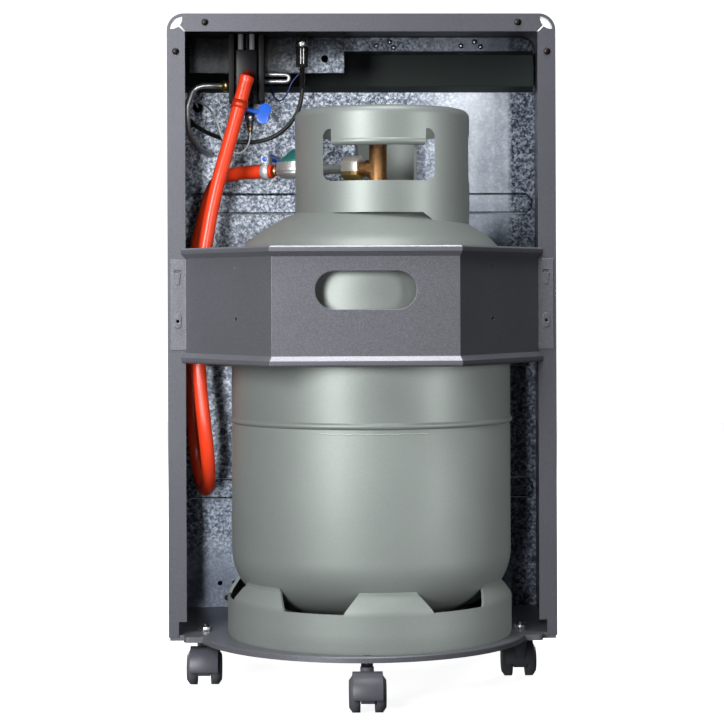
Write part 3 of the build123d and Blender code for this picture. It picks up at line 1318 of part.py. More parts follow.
BLUE_ROUTE = placed([
    (IGNITER_X - IGNITER_TIP_R - HOSE_BORE_GAP, IGNITER_DEPTH, 668.0),
    (-75.5, 80.5, 661.0),
    (-81.0, 83.0, 646.0),
    (-89.0, 87.0, 636.5),
    (-98.0, 96.0, 645.0),
    (-99.5, 108.0, 659.0),
    (-99.0, BRACKET_DEPTH + 2.0, BRACKET_LOW_Z - HOSE_BORE_GAP),
])

THERMO_ROUTE = placed([
    (UNION_X, VALVE_BLOCK_DEPTH, UNION_LOW_Z - FERRULE_H - HOSE_BORE_GAP),
    (UNION_X, VALVE_BLOCK_DEPTH, 588.0),
    (-138.0, 79.0, 576.0),
    (-153.0, 76.0, 592.0),
    (-159.0, 76.0, 614.0),
    (-167.0, 79.0, 629.0),
    (-177.0, 90.0, 636.0),
    (-184.0, 112.0, 640.0),
    (THERMO_GROMMET_X, 140.0, THERMO_GROMMET_Z),
    (THERMO_GROMMET_X, DIVIDER_DEPTH - GROMMET_H - HOSE_BORE_GAP, THERMO_GROMMET_Z),
])


def lead_grommets():
    """Two rubber grommets where the leads pass through the divider."""
    plugs = []
    for x, z in ((LEAD_GROMMET_X, LEAD_GROMMET_Z), (THERMO_GROMMET_X, THERMO_GROMMET_Z)):
        start = Vector(x, inward(DIVIDER_DEPTH - GROMMET_H), z)
        flange = rod((x, inward(DIVIDER_DEPTH - 2.0), z), (0, 1, 0), 2.0 - SEAT_GAP, GROMMET_R)
        plugs.append(rod(start, (0, 1, 0), GROMMET_H - SEAT_GAP, GROMMET_R - 2) + flange)
    return group(plugs)


CLIP_BORE_R = corner_of(HOSE_R) + CLIP_GAP


def hose_clip(centre, along, side):
    """Band clip on the hose, with its worm housing on one side."""
    lay = Plane(origin=centre - along * (CLIP_WIDTH / 2), x_dir=side, z_dir=along)
    clear = CLIP_BORE_R
    band = extrude(lay * (eye(clear + CLIP_SHEET) - eye(clear)), CLIP_WIDTH)
    length, height, width = CLIP_HOUSING
    box = lay * Pos(clear + height / 2 + CLIP_SHEET / 2, 0, CLIP_WIDTH / 2) * Box(height, length, width)
    axis = lay * Pos(clear + CLIP_SHEET + height / 2, 0, CLIP_WIDTH / 2)
    hole = axis * Rot(90, 0, 0) * extrude(eye(THUMB_NECK_R + RUN_FIT), length / 2 + 1, both=True)
    return band + box - hole


def thumb_screw(centre, along, side, spin):
    """Butterfly screw through the clip's housing, its wings turned by spin degrees."""
    lay = Plane(origin=centre, x_dir=side, z_dir=along)
    clear = CLIP_BORE_R
    length, height, _ = CLIP_HOUSING
    across = lay * Pos(clear + CLIP_SHEET + height / 2, 0, 0) * Rot(-90, 0, 0) * Rot(0, 0, spin)
    shank = across * Pos(0, 0, -length / 2 - 1) * extrude(
        disc(THUMB_NECK_R), length + 1 + THUMB_NECK_L)
    root = length / 2 + THUMB_NECK_L
    ears = []
    for sign in (-1, 1):
        ear = Pos(0, sign * THUMB_WING_SPREAD * 0.75, root + THUMB_WING_L / 2 - 1)
        ear = ear * Rot(0, 90, 0) * extrude(disc(THUMB_WING_R), THUMB_WING_THICK / 2, both=True)
        ears.append(across * ear)
    web = across * Pos(0, 0, root + 3.0) * Box(THUMB_WING_THICK, 2 * THUMB_WING_SPREAD, THUMB_WING_L * 0.5)
    return shank + ears[0] + ears[1] + web


def clip_frames():
    """Centre, hose direction and housing side of the two hose clips."""
    first = HOSE_ROUTE[0]
    down = (HOSE_ROUTE[1] - first).normalized()
    side = Vector(0, 1, 0)
    side = (side - down * side.dot(down)).normalized()
    last = HOSE_ROUTE[-1] + OUTLET_DIR * CLIP_SETBACK
    return {
        "upper": (first + down * CLIP_DROP, down, side, 0.0),
        "lower": (last, OUTLET_DIR, Vector(0, 0, 1), 35.0),
    }


def burner_tube():
    """Aluminium tube from the brass fitting to the wall, down beside it and through the divider."""
    start_x = VALVE_BLOCK_X - CHANNEL_W / 2 - FITTING_L - SEAT_GAP
    depth = FITTING_DEPTH
    points = placed([
        (start_x, depth, FITTING_Z), (-183.0, depth, FITTING_Z), (-193.5, depth + 1.0, FITTING_Z - 14.0),
        (-193.8, depth + 3.0, FITTING_Z - 46.0), (-188.0, depth + 30.0, FITTING_Z - 66.0),
        (-172.0, DIVIDER_DEPTH - 36.0, FITTING_Z - 72.0), (-172.0, DIVIDER_DEPTH - SEAT_GAP, FITTING_Z - 72.0),
    ])
    return bent_tube(points, corner_radii(points), TUBE_R)


def bypass_tube():
    """Aluminium tube that leaves the gas valve and bends straight back into it."""
    start_x = VALVE_BLOCK_X + BLOCK_W / 2 + SEAT_GAP
    depth = VALVE_BLOCK_DEPTH
    low = LOOP_Z - LOOP_PITCH
    out = -79.0
    points = placed([
        (start_x, depth, LOOP_Z), (out, depth, LOOP_Z), (out, depth, low), (start_x, depth, low),
    ])
    bend = LOOP_PITCH / 2 - 0.01
    return bent_tube(points, [bend, bend], BYPASS_R)


def brass_fitting():
    """Brass outlet union on the side of the gas valve."""
    y = inward(FITTING_DEPTH)
    block_x = VALVE_BLOCK_X - BLOCK_W / 2 - SEAT_GAP
    channel_x = VALVE_BLOCK_X - CHANNEL_W / 2
    neck = rod((block_x, y, FITTING_Z), (-1, 0, 0), block_x - channel_x + 1, 5.0)
    nut = hexagon((channel_x - SEAT_GAP, y, FITTING_Z), (-1, 0, 0), FITTING_L - 2, 12.0, 30)
    lip = rod((channel_x - FITTING_L + 1, y, FITTING_Z), (-1, 0, 0), 1.0 , 4.5)
    return neck + nut + lip


def channel_ports():
    """Holes in the channel for the brass fitting and the bypass tube."""
    y = inward(FITTING_DEPTH)
    loop_y = inward(VALVE_BLOCK_DEPTH)
    left = bore((VALVE_BLOCK_X, y, FITTING_Z), (-1, 0, 0), CHANNEL_W, 5.0 + WALL_GAP)
    for level in (LOOP_Z, LOOP_Z - LOOP_PITCH):
        left += bore((VALVE_BLOCK_X, loop_y, level), (1, 0, 0), CHANNEL_W, BYPASS_R + WALL_GAP)
    return left


def thermocouple_union():
    """Silver union that holds the thermocouple under the gas valve."""
    place = (UNION_X, inward(VALVE_BLOCK_DEPTH))
    neck = rod((*place, UNION_LOW_Z), (0, 0, 1), BLOCK_LOW_Z - SEAT_GAP - UNION_LOW_Z, 4.2)
    nut = hexagon((*place, UNION_LOW_Z + 4.0), (0, 0, 1), 10.0, 10.5)
    return neck + nut


def thermocouple_ferrule():
    """Brass ferrule at the end of the union."""
    place = (UNION_X, inward(VALVE_BLOCK_DEPTH))
    low = UNION_LOW_Z - FERRULE_H
    return turned((*place, low), (0, 0, 1), [(0, 2.0), (FERRULE_H - SEAT_GAP, 3.6)])


# ---------------------------------------------------------------- radiant front
BURNER_BACK = DIVIDER_DEPTH + SHEET + BURNER_GAP
BURNER_FACE = BURNER_BACK + BURNER_D
PANEL_DEPTH = BODY_DEPTH - SHEET - SEAT_GAP
BURNER_LOW_Z = BURNER_Z - BURNER_H / 2


def burner_places():
    """Centre X of each radiant burner."""
    return [(index - (BURNER_COUNT - 1) / 2) * BURNER_PITCH for index in range(BURNER_COUNT)]


def burner_boxes():
    """Pressed steel mixing boxes behind the plaques, each on two feet against the divider."""
    boxes = []
    high = BURNER_LOW_Z + BURNER_H
    for x in burner_places():
        half = BURNER_W / 2
        box = block(x - half, x + half, inward(BURNER_BACK), inward(BURNER_FACE), BURNER_LOW_Z, high)
        skin = BURNER_SHEET
        box -= block(x - half + skin, x + half - skin, inward(BURNER_BACK + skin), inward(BURNER_FACE + 1),
                     BURNER_LOW_Z + skin, high - skin)
        for level in (BURNER_LOW_Z + 20, high - 20):
            box += block(x - 12, x + 12, inward(DIVIDER_DEPTH + SHEET + SEAT_GAP), inward(BURNER_BACK) + skin / 2,
                         level - 6, level + 6)
        boxes.append(box)
    return group(boxes)


def ceramic_plaques():
    """Pierced ceramic plaques set into the mouths of the boxes."""
    plaques = []
    inset = BURNER_SHEET + PLAQUE_GAP
    width = BURNER_W - 2 * inset
    height = BURNER_H - 2 * inset
    for x in burner_places():
        low = BURNER_LOW_Z + inset
        slab = block(x - width / 2, x + width / 2, inward(BURNER_FACE - PLAQUE_THICK), inward(BURNER_FACE),
                     low, low + height)
        for row in range(PLAQUE_ROWS):
            level = low + (row + 0.5) * height / PLAQUE_ROWS
            face = inward(BURNER_FACE)
            slab -= block(x - width / 2 + 3, x + width / 2 - 3, face - 1.5, face + 1, level - PLAQUE_SLOT / 2, level + PLAQUE_SLOT / 2)
        plaques.append(slab)
    return group(plaques)


def corners(lay, half_w, half_h):
    """Corners of a rectangle on a plane, counted round its axis."""
    signs = ((1, 1), (-1, 1), (-1, -1), (1, -1))
    return [lay.from_local_coords(Vector(half_w * across, half_h * up, 0)) for across, up in signs]


def reflector():
    """Bright sheet funnel from the burners out to the front opening."""
    back = inward(BURNER_FACE - 4)
    front = inward(PANEL_DEPTH - SHEET - SEAT_GAP)
    back_w = (BURNER_COUNT - 1) * BURNER_PITCH + BURNER_W + 2 * REFLECTOR_MARGIN
    back_h = BURNER_H + 2 * REFLECTOR_MARGIN
    front_w = OPENING_W - 2 * REFLECTOR_SHEET
    front_h = OPENING_HIGH_Z - OPENING_LOW_Z - 2 * REFLECTOR_SHEET
    front_z = (OPENING_HIGH_Z + OPENING_LOW_Z) / 2

    def funnel(grow, spill):
        rear = Plane(origin=(0, back - spill, BURNER_Z), x_dir=(1, 0, 0), z_dir=(0, 1, 0))
        fore = Plane(origin=(0, front + spill, front_z), x_dir=(1, 0, 0), z_dir=(0, 1, 0))
        near = corners(rear, back_w / 2 + grow, back_h / 2 + grow)
        far = corners(fore, front_w / 2 + grow, front_h / 2 + grow)
        return faceted([[rear.origin], near, far, [fore.origin]])

    shell = funnel(REFLECTOR_SHEET, 0) - funnel(0, 0.01)
    rim = Plane(origin=(0, front, front_z), x_dir=(1, 0, 0), z_dir=(0, -1, 0))
    lip = Rectangle(front_w + 2 * REFLECTOR_FLARE, front_h + 2 * REFLECTOR_FLARE) - Rectangle(front_w, front_h)
    return shell + extrude(rim * lip, REFLECTOR_SHEET)


def front_frame():
    """Painted front panel with the radiant opening and a louvred foot."""
    low = TRAY_TOP_Z + WALL_GAP
    depth = inward(PANEL_DEPTH)
    outline = upright_arch(2 * (INNER_X - WALL_GAP), low, ROOF_Z - WALL_GAP, CORNER_R - SHEET)
    panel = stand(outline, PANEL_DEPTH - SHEET, PANEL_DEPTH)
    mouth = Pos(0, (OPENING_HIGH_Z + OPENING_LOW_Z) / 2) * RectangleRounded(
        OPENING_W, OPENING_HIGH_Z - OPENING_LOW_Z, FRONT_R)
    lay = Plane(origin=(0, depth, 0), x_dir=(1, 0, 0), z_dir=(0, -1, 0))
    panel -= extrude(lay * mouth, 3 * SHEET, both=True)
    for row in range(LOUVRE_ROWS):
        level = LOUVRE_Z + row * LOUVRE_PITCH
        panel -= extrude(lay * Pos(0, level) * Rectangle(LOUVRE_W, LOUVRE_H), 3 * SHEET, both=True)
        hood = Plane(origin=(-LOUVRE_W / 2, 0, 0), x_dir=(0, 1, 0), z_dir=(1, 0, 0))
        high = level + LOUVRE_H / 2
        fin = strip([(depth - SHEET, high + 2.0), (depth + 3.0, high - 3.0)], SHEET)
        panel += extrude(hood * fin, LOUVRE_W)
    return panel


def guard_extent():
    """Half width, low edge, high edge and outer depth of the wire guard."""
    out = inward(BODY_DEPTH + GUARD_OUT) - WIRE_R
    return OPENING_W / 2 + 5.0, OPENING_LOW_Z - 5.0, OPENING_HIGH_Z + 4.0, out


def guard_rails():
    """Level wires of the guard, bent back to the panel at both ends."""
    half, low, high, out = guard_extent()
    face = inward(PANEL_DEPTH) + SEAT_GAP
    rails = []
    for index in range(GUARD_RAILS):
        level = low + 12 + index * (high - low - 24) / (GUARD_RAILS - 1)
        points = [(-half, face, level), (-half, out, level), (half, out, level), (half, face, level)]
        rails.append(wire(points, WIRE_R))
    return group(rails)


def guard_bars():
    """Upright wires of the guard, welded to the inner side of the rails."""
    half, low, high, out = guard_extent()
    behind = out - 2 * corner_of(WIRE_R) - SEAT_GAP
    bars = []
    for index in range(GUARD_BARS):
        x = (index - (GUARD_BARS - 1) / 2) * (2 * half - 24) / (GUARD_BARS - 1)
        bars.append(wire([(x, behind, low), (x, behind, high)], WIRE_R))
    return group(bars)


def burner_manifold():
    """Brass-jetted feed pipe below the burners, on two feet against the divider."""
    y = inward(BURNER_BACK + BURNER_D / 2)
    z = BURNER_LOW_Z - INJECTOR_L - 5.0
    reach = BURNER_PITCH + 18.0
    pipe = rod((-reach, y, z), (1, 0, 0), 2 * reach, 6.0)
    for x in burner_places():
        pipe += rod((x, y, z), (0, 0, 1), INJECTOR_L + 5.0 - SEAT_GAP, INJECTOR_R)
    for x in (-BURNER_PITCH / 2, BURNER_PITCH / 2):
        wall = inward(DIVIDER_DEPTH + SHEET + SEAT_GAP)
        pipe += rod((x, wall, z), (0, 1, 0), y - wall, 4.0)
    return pipe


def pilot_assembly():
    """Pilot burner, electrode and thermocouple tip on one bracket under the middle plaque."""
    y = inward(BURNER_FACE + 8)
    z = BURNER_LOW_Z - 3.0
    base = block(ODS_X - 18, ODS_X + 18, inward(DIVIDER_DEPTH + SHEET + SEAT_GAP), y + 6, z - 2.0, z - 0.8)
    pilot = rod((ODS_X - 10, y, z - 2.0), (0, 0, 1), 18.0, 4.0)
    electrode = rod((ODS_X, y, z - 2.0), (0, 0, 1), 26.0, 2.5)
    probe = rod((ODS_X + 10, y, z - 2.0), (0, 0, 1), 22.0, 2.5)
    return base + pilot + electrode + probe


STRIP_SCREW_PLACES = ((22.4, 713.0), (38.0, 717.5), (43.0, 711.0), (122.0, 713.0), (138.0, 717.5), (145.0, 712.0))


def strip_screws():
    """Six small screws along the top of the divider."""
    face = inward(DIVIDER_DEPTH)
    heads = []
    for x, z in STRIP_SCREW_PLACES:
        head = rod((x, face - SEAT_GAP - 2.0, z), (0, 1, 0), 2.0, 3.2)
        heads.append(head)
    return group(heads)


# ---------------------------------------------------------------- write the nodes
PIECES = {
    "cabinet_shell": cabinet_shell,
    "corner_gussets": corner_gussets,
    "flange_screws": flange_screws,
    "base_tray": base_tray,
    "caster_stems": caster_stems,
    "caster_nuts": caster_nuts,
    "divider_panel": divider_panel,
    "heat_baffle": heat_baffle,
    "strip_screws": strip_screws,
    "bottle_body": bottle_body,
    "bottle_foot_ring": bottle_foot_ring,
    "bottle_collar": bottle_collar,
    "bottle_valve": bottle_valve,
    "valve_handwheel": valve_handwheel,
    "union_nut": union_nut,
    "regulator_body": regulator_body,
    "regulator_cap": regulator_cap,
    "hose_tail": hose_tail,
    "retaining_bar": retaining_bar,
    "control_pan": control_pan,
    "control_knob": control_knob,
    "valve_block": valve_block,
    "valve_channel": valve_channel,
    "control_bracket": control_bracket,
    "inlet_spigot": inlet_spigot,
    "piezo_igniter": piezo_igniter,
    "piezo_nut": piezo_nut,
    "igniter_button": igniter_button,
    "lead_grommets": lead_grommets,
    "burner_tube": burner_tube,
    "bypass_tube": bypass_tube,
    "brass_fitting": brass_fitting,
    "thermocouple_union": thermocouple_union,
    "thermocouple_ferrule": thermocouple_ferrule,
    "burner_boxes": burner_boxes,
    "ceramic_plaques": ceramic_plaques,
    "burner_manifold": burner_manifold,
    "pilot_assembly": pilot_assembly,
    "reflector": reflector,
    "front_frame": front_frame,
    "guard_rails": guard_rails,
    "guard_bars": guard_bars,
}

CORDS = {
    "gas_hose": (HOSE_ROUTE, HOSE_R),
    "ignition_lead": (LEAD_ROUTE, LEAD_R),
    "blue_wire": (BLUE_ROUTE, WIRE_THIN_R),
    "thermocouple_lead": (THERMO_ROUTE, THERMO_LEAD_R),
}

os.makedirs("parts", exist_ok=True)
for piece, make in PIECES.items():
    save(piece, make())
for name, (route, radius) in CORDS.items():
    save(name, cord(name, route, radius))
bands = []
for name, (centre, along, side, spin) in clip_frames().items():
    bands.append(hose_clip(centre, along, side))
    save(f"thumb_screw_{name}", thumb_screw(centre, along, side, spin))
save("hose_clips", group(bands))
for name, (x, y, trail) in caster_places().items():
    save(f"caster_hood_{name}", caster_hood(x, y, trail))
    save(f"caster_wheels_{name}", caster_wheels(x, y, trail))
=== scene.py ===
"""Looks of the portable gas cabinet heater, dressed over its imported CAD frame.

The frame is in metres with +Z up, and the open back faces -Y. Finishes, lights and the stage are sized
in metres here, and the rest in millimetres.
"""
import json
import math

import bmesh
import bpy
from mathutils import Euler, Matrix, Vector

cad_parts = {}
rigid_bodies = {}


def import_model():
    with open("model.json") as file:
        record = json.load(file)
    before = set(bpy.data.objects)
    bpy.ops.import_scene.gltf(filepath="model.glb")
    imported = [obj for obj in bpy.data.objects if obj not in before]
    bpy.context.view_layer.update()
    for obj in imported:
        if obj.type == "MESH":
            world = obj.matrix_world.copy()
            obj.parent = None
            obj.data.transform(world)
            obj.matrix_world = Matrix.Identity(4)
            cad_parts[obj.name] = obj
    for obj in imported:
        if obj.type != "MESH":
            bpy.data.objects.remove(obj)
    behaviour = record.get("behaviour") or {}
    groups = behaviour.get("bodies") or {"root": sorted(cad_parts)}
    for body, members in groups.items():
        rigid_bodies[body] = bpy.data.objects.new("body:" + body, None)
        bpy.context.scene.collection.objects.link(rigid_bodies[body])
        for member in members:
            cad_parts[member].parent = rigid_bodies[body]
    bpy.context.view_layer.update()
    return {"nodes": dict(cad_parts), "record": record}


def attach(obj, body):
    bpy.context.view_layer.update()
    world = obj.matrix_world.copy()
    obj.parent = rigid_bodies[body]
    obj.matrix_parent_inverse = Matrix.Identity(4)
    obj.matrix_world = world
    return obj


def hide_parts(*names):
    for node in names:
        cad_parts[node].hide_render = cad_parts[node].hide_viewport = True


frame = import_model()
NODES = frame["nodes"]
NODE_SLOT = {row["node"]: row["material_slot"] for row in frame["record"]["subparts"]}
MM = 0.001
FLANGE_Y = -57.75                     # rear face of the cabinet's flange


# ---------------------------------------------------------------- material helpers
class Mat:
    """A node material with a Principled shader; constants sit on the shader's own sockets."""

    def __init__(self, name, rough=0.5, metal=0.0, **sockets):
        self.mat = bpy.data.materials.new(name)
        self.mat.use_nodes = True
        self.tree = self.mat.node_tree
        self.tree.nodes.clear()
        self.bsdf = self.node("ShaderNodeBsdfPrincipled")
        self.link(self.bsdf.outputs[0], self.node("ShaderNodeOutputMaterial").inputs[0])
        self.set("Roughness", rough)
        self.set("Metallic", metal)
        for key, value in sockets.items():
            self.set(key.replace("_", " "), value)
        self.coord = self.node("ShaderNodeTexCoord").outputs["Object"]

    def node(self, kind, inputs=None, **values):
        """A new node with properties by keyword and socket values by name."""
        made = self.tree.nodes.new(kind)
        for key, value in values.items():
            setattr(made, key, value)
        for key, value in (inputs or {}).items():
            made.inputs[key].default_value = value
        return made

    def link(self, a, b):
        """Join an output to an input."""
        self.tree.links.new(a, b)

    def set(self, socket, value):
        """Set a constant on the shader."""
        self.bsdf.inputs[socket].default_value = value

    def noise(self, scale, detail=3.0, rough=0.5, stretch=None, distortion=0.0):
        """Noise on object coordinates, which may be scaled per axis."""
        sockets = {"Scale": scale, "Detail": detail, "Roughness": rough, "Distortion": distortion}
        made = self.node("ShaderNodeTexNoise", sockets)
        place = self.coord
        if stretch:
            mapping = self.node("ShaderNodeMapping", {"Scale": stretch})
            self.link(self.coord, mapping.inputs["Vector"])
            place = mapping.outputs[0]
        self.link(place, made.inputs["Vector"])
        return made.outputs["Fac"]

    def ramp(self, fac, *stops):
        """Colour of a factor, from stops of (place, colour)."""
        made = self.node("ShaderNodeValToRGB")
        elements = made.color_ramp.elements
        while len(elements) < len(stops):
            elements.new(0.5)
        for element, (place, colour) in zip(elements, stops):
            element.position = place
            element.color = (*colour, 1.0)
        self.link(fac, made.inputs[0])
        return made.outputs[0]

    def mix(self, fac, a, b, mode="MIX"):
        """Colour a blended to colour b, each an output or a plain colour."""
        made = self.node("ShaderNodeMix", data_type="RGBA", blend_type=mode)
        if isinstance(fac, float):
            made.inputs[0].default_value = fac
        else:
            self.link(fac, made.inputs[0])
        for index, value in ((6, a), (7, b)):
            if isinstance(value, tuple):
                made.inputs[index].default_value = (*value, 1.0)
            else:
                self.link(value, made.inputs[index])
        return made.outputs[2]

    def times(self, a, b, amount=1.0):
        """Colour a multiplied by colour b."""
        return self.mix(amount, a, b, "MULTIPLY")

    def spread(self, fac, low, high):
        """A factor of 0 to 1 spread over another range."""
        made = self.node("ShaderNodeMapRange", {"To Min": low, "To Max": high})
        self.link(fac, made.inputs["Value"])
        return made.outputs[0]

    def along(self, axis, start, end):
        """0 to 1 between two places on one axis of the object, in metres."""
        parts = self.node("ShaderNodeSeparateXYZ")
        self.link(self.coord, parts.inputs[0])
        made = self.node("ShaderNodeMapRange", {"From Min": start, "From Max": end})
        self.link(parts.outputs[axis], made.inputs["Value"])
        return made.outputs[0]

    def most(self, a, b):
        """The larger of two factors."""
        made = self.node("ShaderNodeMath", operation="MAXIMUM")
        self.link(a, made.inputs[0])
        self.link(b, made.inputs[1])
        return made.outputs[0]

    def colour(self, output):
        """Colour the shader."""
        self.link(output, self.bsdf.inputs["Base Color"])

    def roughness(self, fac, low, high):
        """Vary the shader's roughness with a factor."""
        self.link(self.spread(fac, low, high), self.bsdf.inputs["Roughness"])

    def bump(self, fac, strength, distance):
        """Give the shader a relief of a depth in metres."""
        made = self.node("ShaderNodeBump", {"Strength": strength, "Distance": distance})
        self.link(fac, made.inputs["Height"])
        self.link(made.outputs[0], self.bsdf.inputs["Normal"])


def shade(colour, factor):
    """A colour made darker or lighter."""
    return tuple(min(1.0, channel * factor) for channel in colour)


def grey(value):
    """An even grey."""
    return (value, value, value)


def powder(name, colour, metal=0.45, rough=0.42, contrast=0.35):
    """Powder coat with a fine metallic grain."""
    m = Mat(name, rough, metal)
    grain = m.noise(1400, 2.0, 0.6)
    broad = m.noise(9, 3.0)
    dark, light = shade(colour, 1 - contrast), shade(colour, 1 + contrast)
    fine = m.ramp(grain, (0.30, dark), (0.52, colour), (0.72, light))
    cloudy = m.ramp(broad, (0.3, grey(0.94)), (0.7, (1.04, 1.04, 1.05)))
    m.colour(m.times(fine, cloudy))
    m.roughness(grain, rough - 0.08, rough + 0.1)
    m.bump(grain, 0.25, 0.00025)
    return m.mat


GLOSS_FADE = 0.006                    # height in metres over which an enamel turns glossier


def enamel(name, colour, rough=0.32, coat=0.25, metal=0.12, glossy_above=None):
    """Sprayed enamel with a slight orange peel and dusty handling marks."""
    m = Mat(name, rough, metal, Coat_Weight=coat, Coat_Roughness=0.22)
    broad = m.noise(6, 4.0, 0.55)
    fine = m.noise(420, 2.0)
    tone = m.ramp(broad, (0.28, shade(colour, 0.90)), (0.55, colour), (0.8, shade(colour, 1.08)))
    speck = m.ramp(fine, (0.2, grey(0.95)), (0.8, grey(1.03)))
    m.colour(m.times(tone, speck))
    if glossy_above:
        m.roughness(m.along("Z", glossy_above, glossy_above + GLOSS_FADE), rough + 0.04, rough - 0.06)
    else:
        m.roughness(broad, rough - 0.05, rough + 0.12)
    m.bump(fine, 0.12, 0.0003)
    return m.mat


CLOUDY_FOOT = ("Z", 0.145, 0.10)      # where the zinc turns soft, low on the divider and at its right
SMOOTH_RIGHT = ("X", 0.04, 0.13)
DARK_REFLECTION_STRIP = ("X", 0.176, 0.182)      # painted dark reflection along the strip at the divider's right edge
ZINC_PAINTED_SHADES = (                        # painted shade on the divider, darker over the top of the bay and towards its foot: axis, start and end, and the tint at each
    # painted shadow over the top of the bay
    ("Z", 0.684, 0.694, grey(1.0), (0.30, 0.31, 0.33)),
    # painted shade, darker towards the divider's foot
    ("Z", 0.33, 0.15, grey(1.0), (0.86, 0.89, 0.94)),
)
# painted shade: the control bracket is dimmed to half, and nearly black at its left end
BRACKET_PAINTED_SHADE = ("X", -0.10, -0.04, grey(0.05), grey(0.50))


def spangle(name, dark, light, bright, *painted_shades):
    """Galvanised sheet: fine zinc blotches, rolled out smooth at the right and cloudy at the foot, with
    painted shade and a painted dark reflection.
    """
    m = Mat(name, 0.40, 0.55)
    speck = m.noise(290, 2.5, 0.55, distortion=0.6)
    cloud = m.noise(11, 4.0, 0.6, distortion=0.4)
    deep, mid = shade(dark, 0.8), shade(dark, 2.6)
    tone = m.ramp(speck, (0.32, deep), (0.43, mid), (0.53, light), (0.68, bright))
    soft = m.ramp(cloud, (0.25, shade(dark, 2.0)), (0.5, light), (0.8, shade(bright, 0.9)))
    softness = m.most(m.along(*CLOUDY_FOOT), m.along(*SMOOTH_RIGHT))
    zinc = m.mix(m.spread(softness, 0.10, 0.80), tone, soft)
    zinc = m.times(zinc, m.ramp(m.noise(5, 3.0, 0.5), (0.3, (0.70, 0.72, 0.76)), (0.7, grey(1.1))))
    # painted dark reflection: the zinc is darker along the divider's right edge
    zinc = m.mix(m.along(*DARK_REFLECTION_STRIP), zinc, m.times(tone, (0.42, 0.44, 0.48)))
    # painted shade: the zinc is darkened over each of these ranges
    for axis, start, end, first, last in (*ZINC_PAINTED_SHADES, *painted_shades):
        zinc = m.times(zinc, m.ramp(m.along(axis, start, end), (0.0, first), (1.0, last)))
    m.colour(zinc)
    m.roughness(speck, 0.28, 0.5)
    m.bump(speck, 0.08, 0.0002)
    return m.mat


def plated(name, colour, rough=0.25, metal=1.0, streak=None):
    """Bare or plated metal with fine marks."""
    m = Mat(name, rough, metal)
    marks = m.noise(350, 4.0, 0.6, stretch=streak)
    m.colour(m.ramp(marks, (0.25, shade(colour, 0.78)), (0.55, colour), (0.8, shade(colour, 1.12))))
    m.roughness(marks, max(0.05, rough - 0.1), rough + 0.14)
    m.bump(marks, 0.10, 0.00015)
    return m.mat


def moulded(name, colour, rough=0.45, coat=0.0, grain=700):
    """Moulded plastic or rubber with a fine texture."""
    m = Mat(name, rough, 0.0, Coat_Weight=coat, Coat_Roughness=0.15)
    fine = m.noise(grain, 3.0)
    tone = m.ramp(m.noise(25, 3.0), (0.3, shade(colour, 0.86)), (0.7, shade(colour, 1.12)))
    m.colour(m.times(tone, m.ramp(fine, (0.2, grey(0.8)), (0.8, grey(1.15))), 0.35))
    m.roughness(fine, rough - 0.06, rough + 0.12)
    m.bump(fine, 0.15, 0.0002)
    return m.mat


CHANGE_HALF = 0.0005                  # half the height in metres over which a colour changes


def two_part(name, low_colour, high_colour, level, metal):
    """A finish that changes to another colour above a level."""
    m = Mat(name, 0.34, metal)
    fine = m.noise(500, 3.0)
    low = m.ramp(fine, (0.3, shade(low_colour, 0.8)), (0.7, shade(low_colour, 1.15)))
    tone = m.mix(m.along("Z", level - CHANGE_HALF, level + CHANGE_HALF), low, high_colour)
    m.colour(m.times(tone, m.ramp(fine, (0.3, grey(0.75)), (0.7, grey(1.1))), 0.3))
    m.roughness(fine, 0.28, 0.45)
    m.bump(fine, 0.1, 0.0002)
    return m.mat


# ---------------------------------------------------------------- palette
BOTTLE_GLOSS_Z = 0.284                # the bottle is glossier above its seam
POST_Z = 0.6945                       # the posts on the valve block are bare above this
GLARE_Z = 0.556                       # the union nut catches the light above this
UPPER_CLIP_Z = 0.60                   # the hose clip above this is red
UPRIGHT_STREAK = (1, 1, 0.05)
LEVEL_STREAK = (0.05, 1, 1)

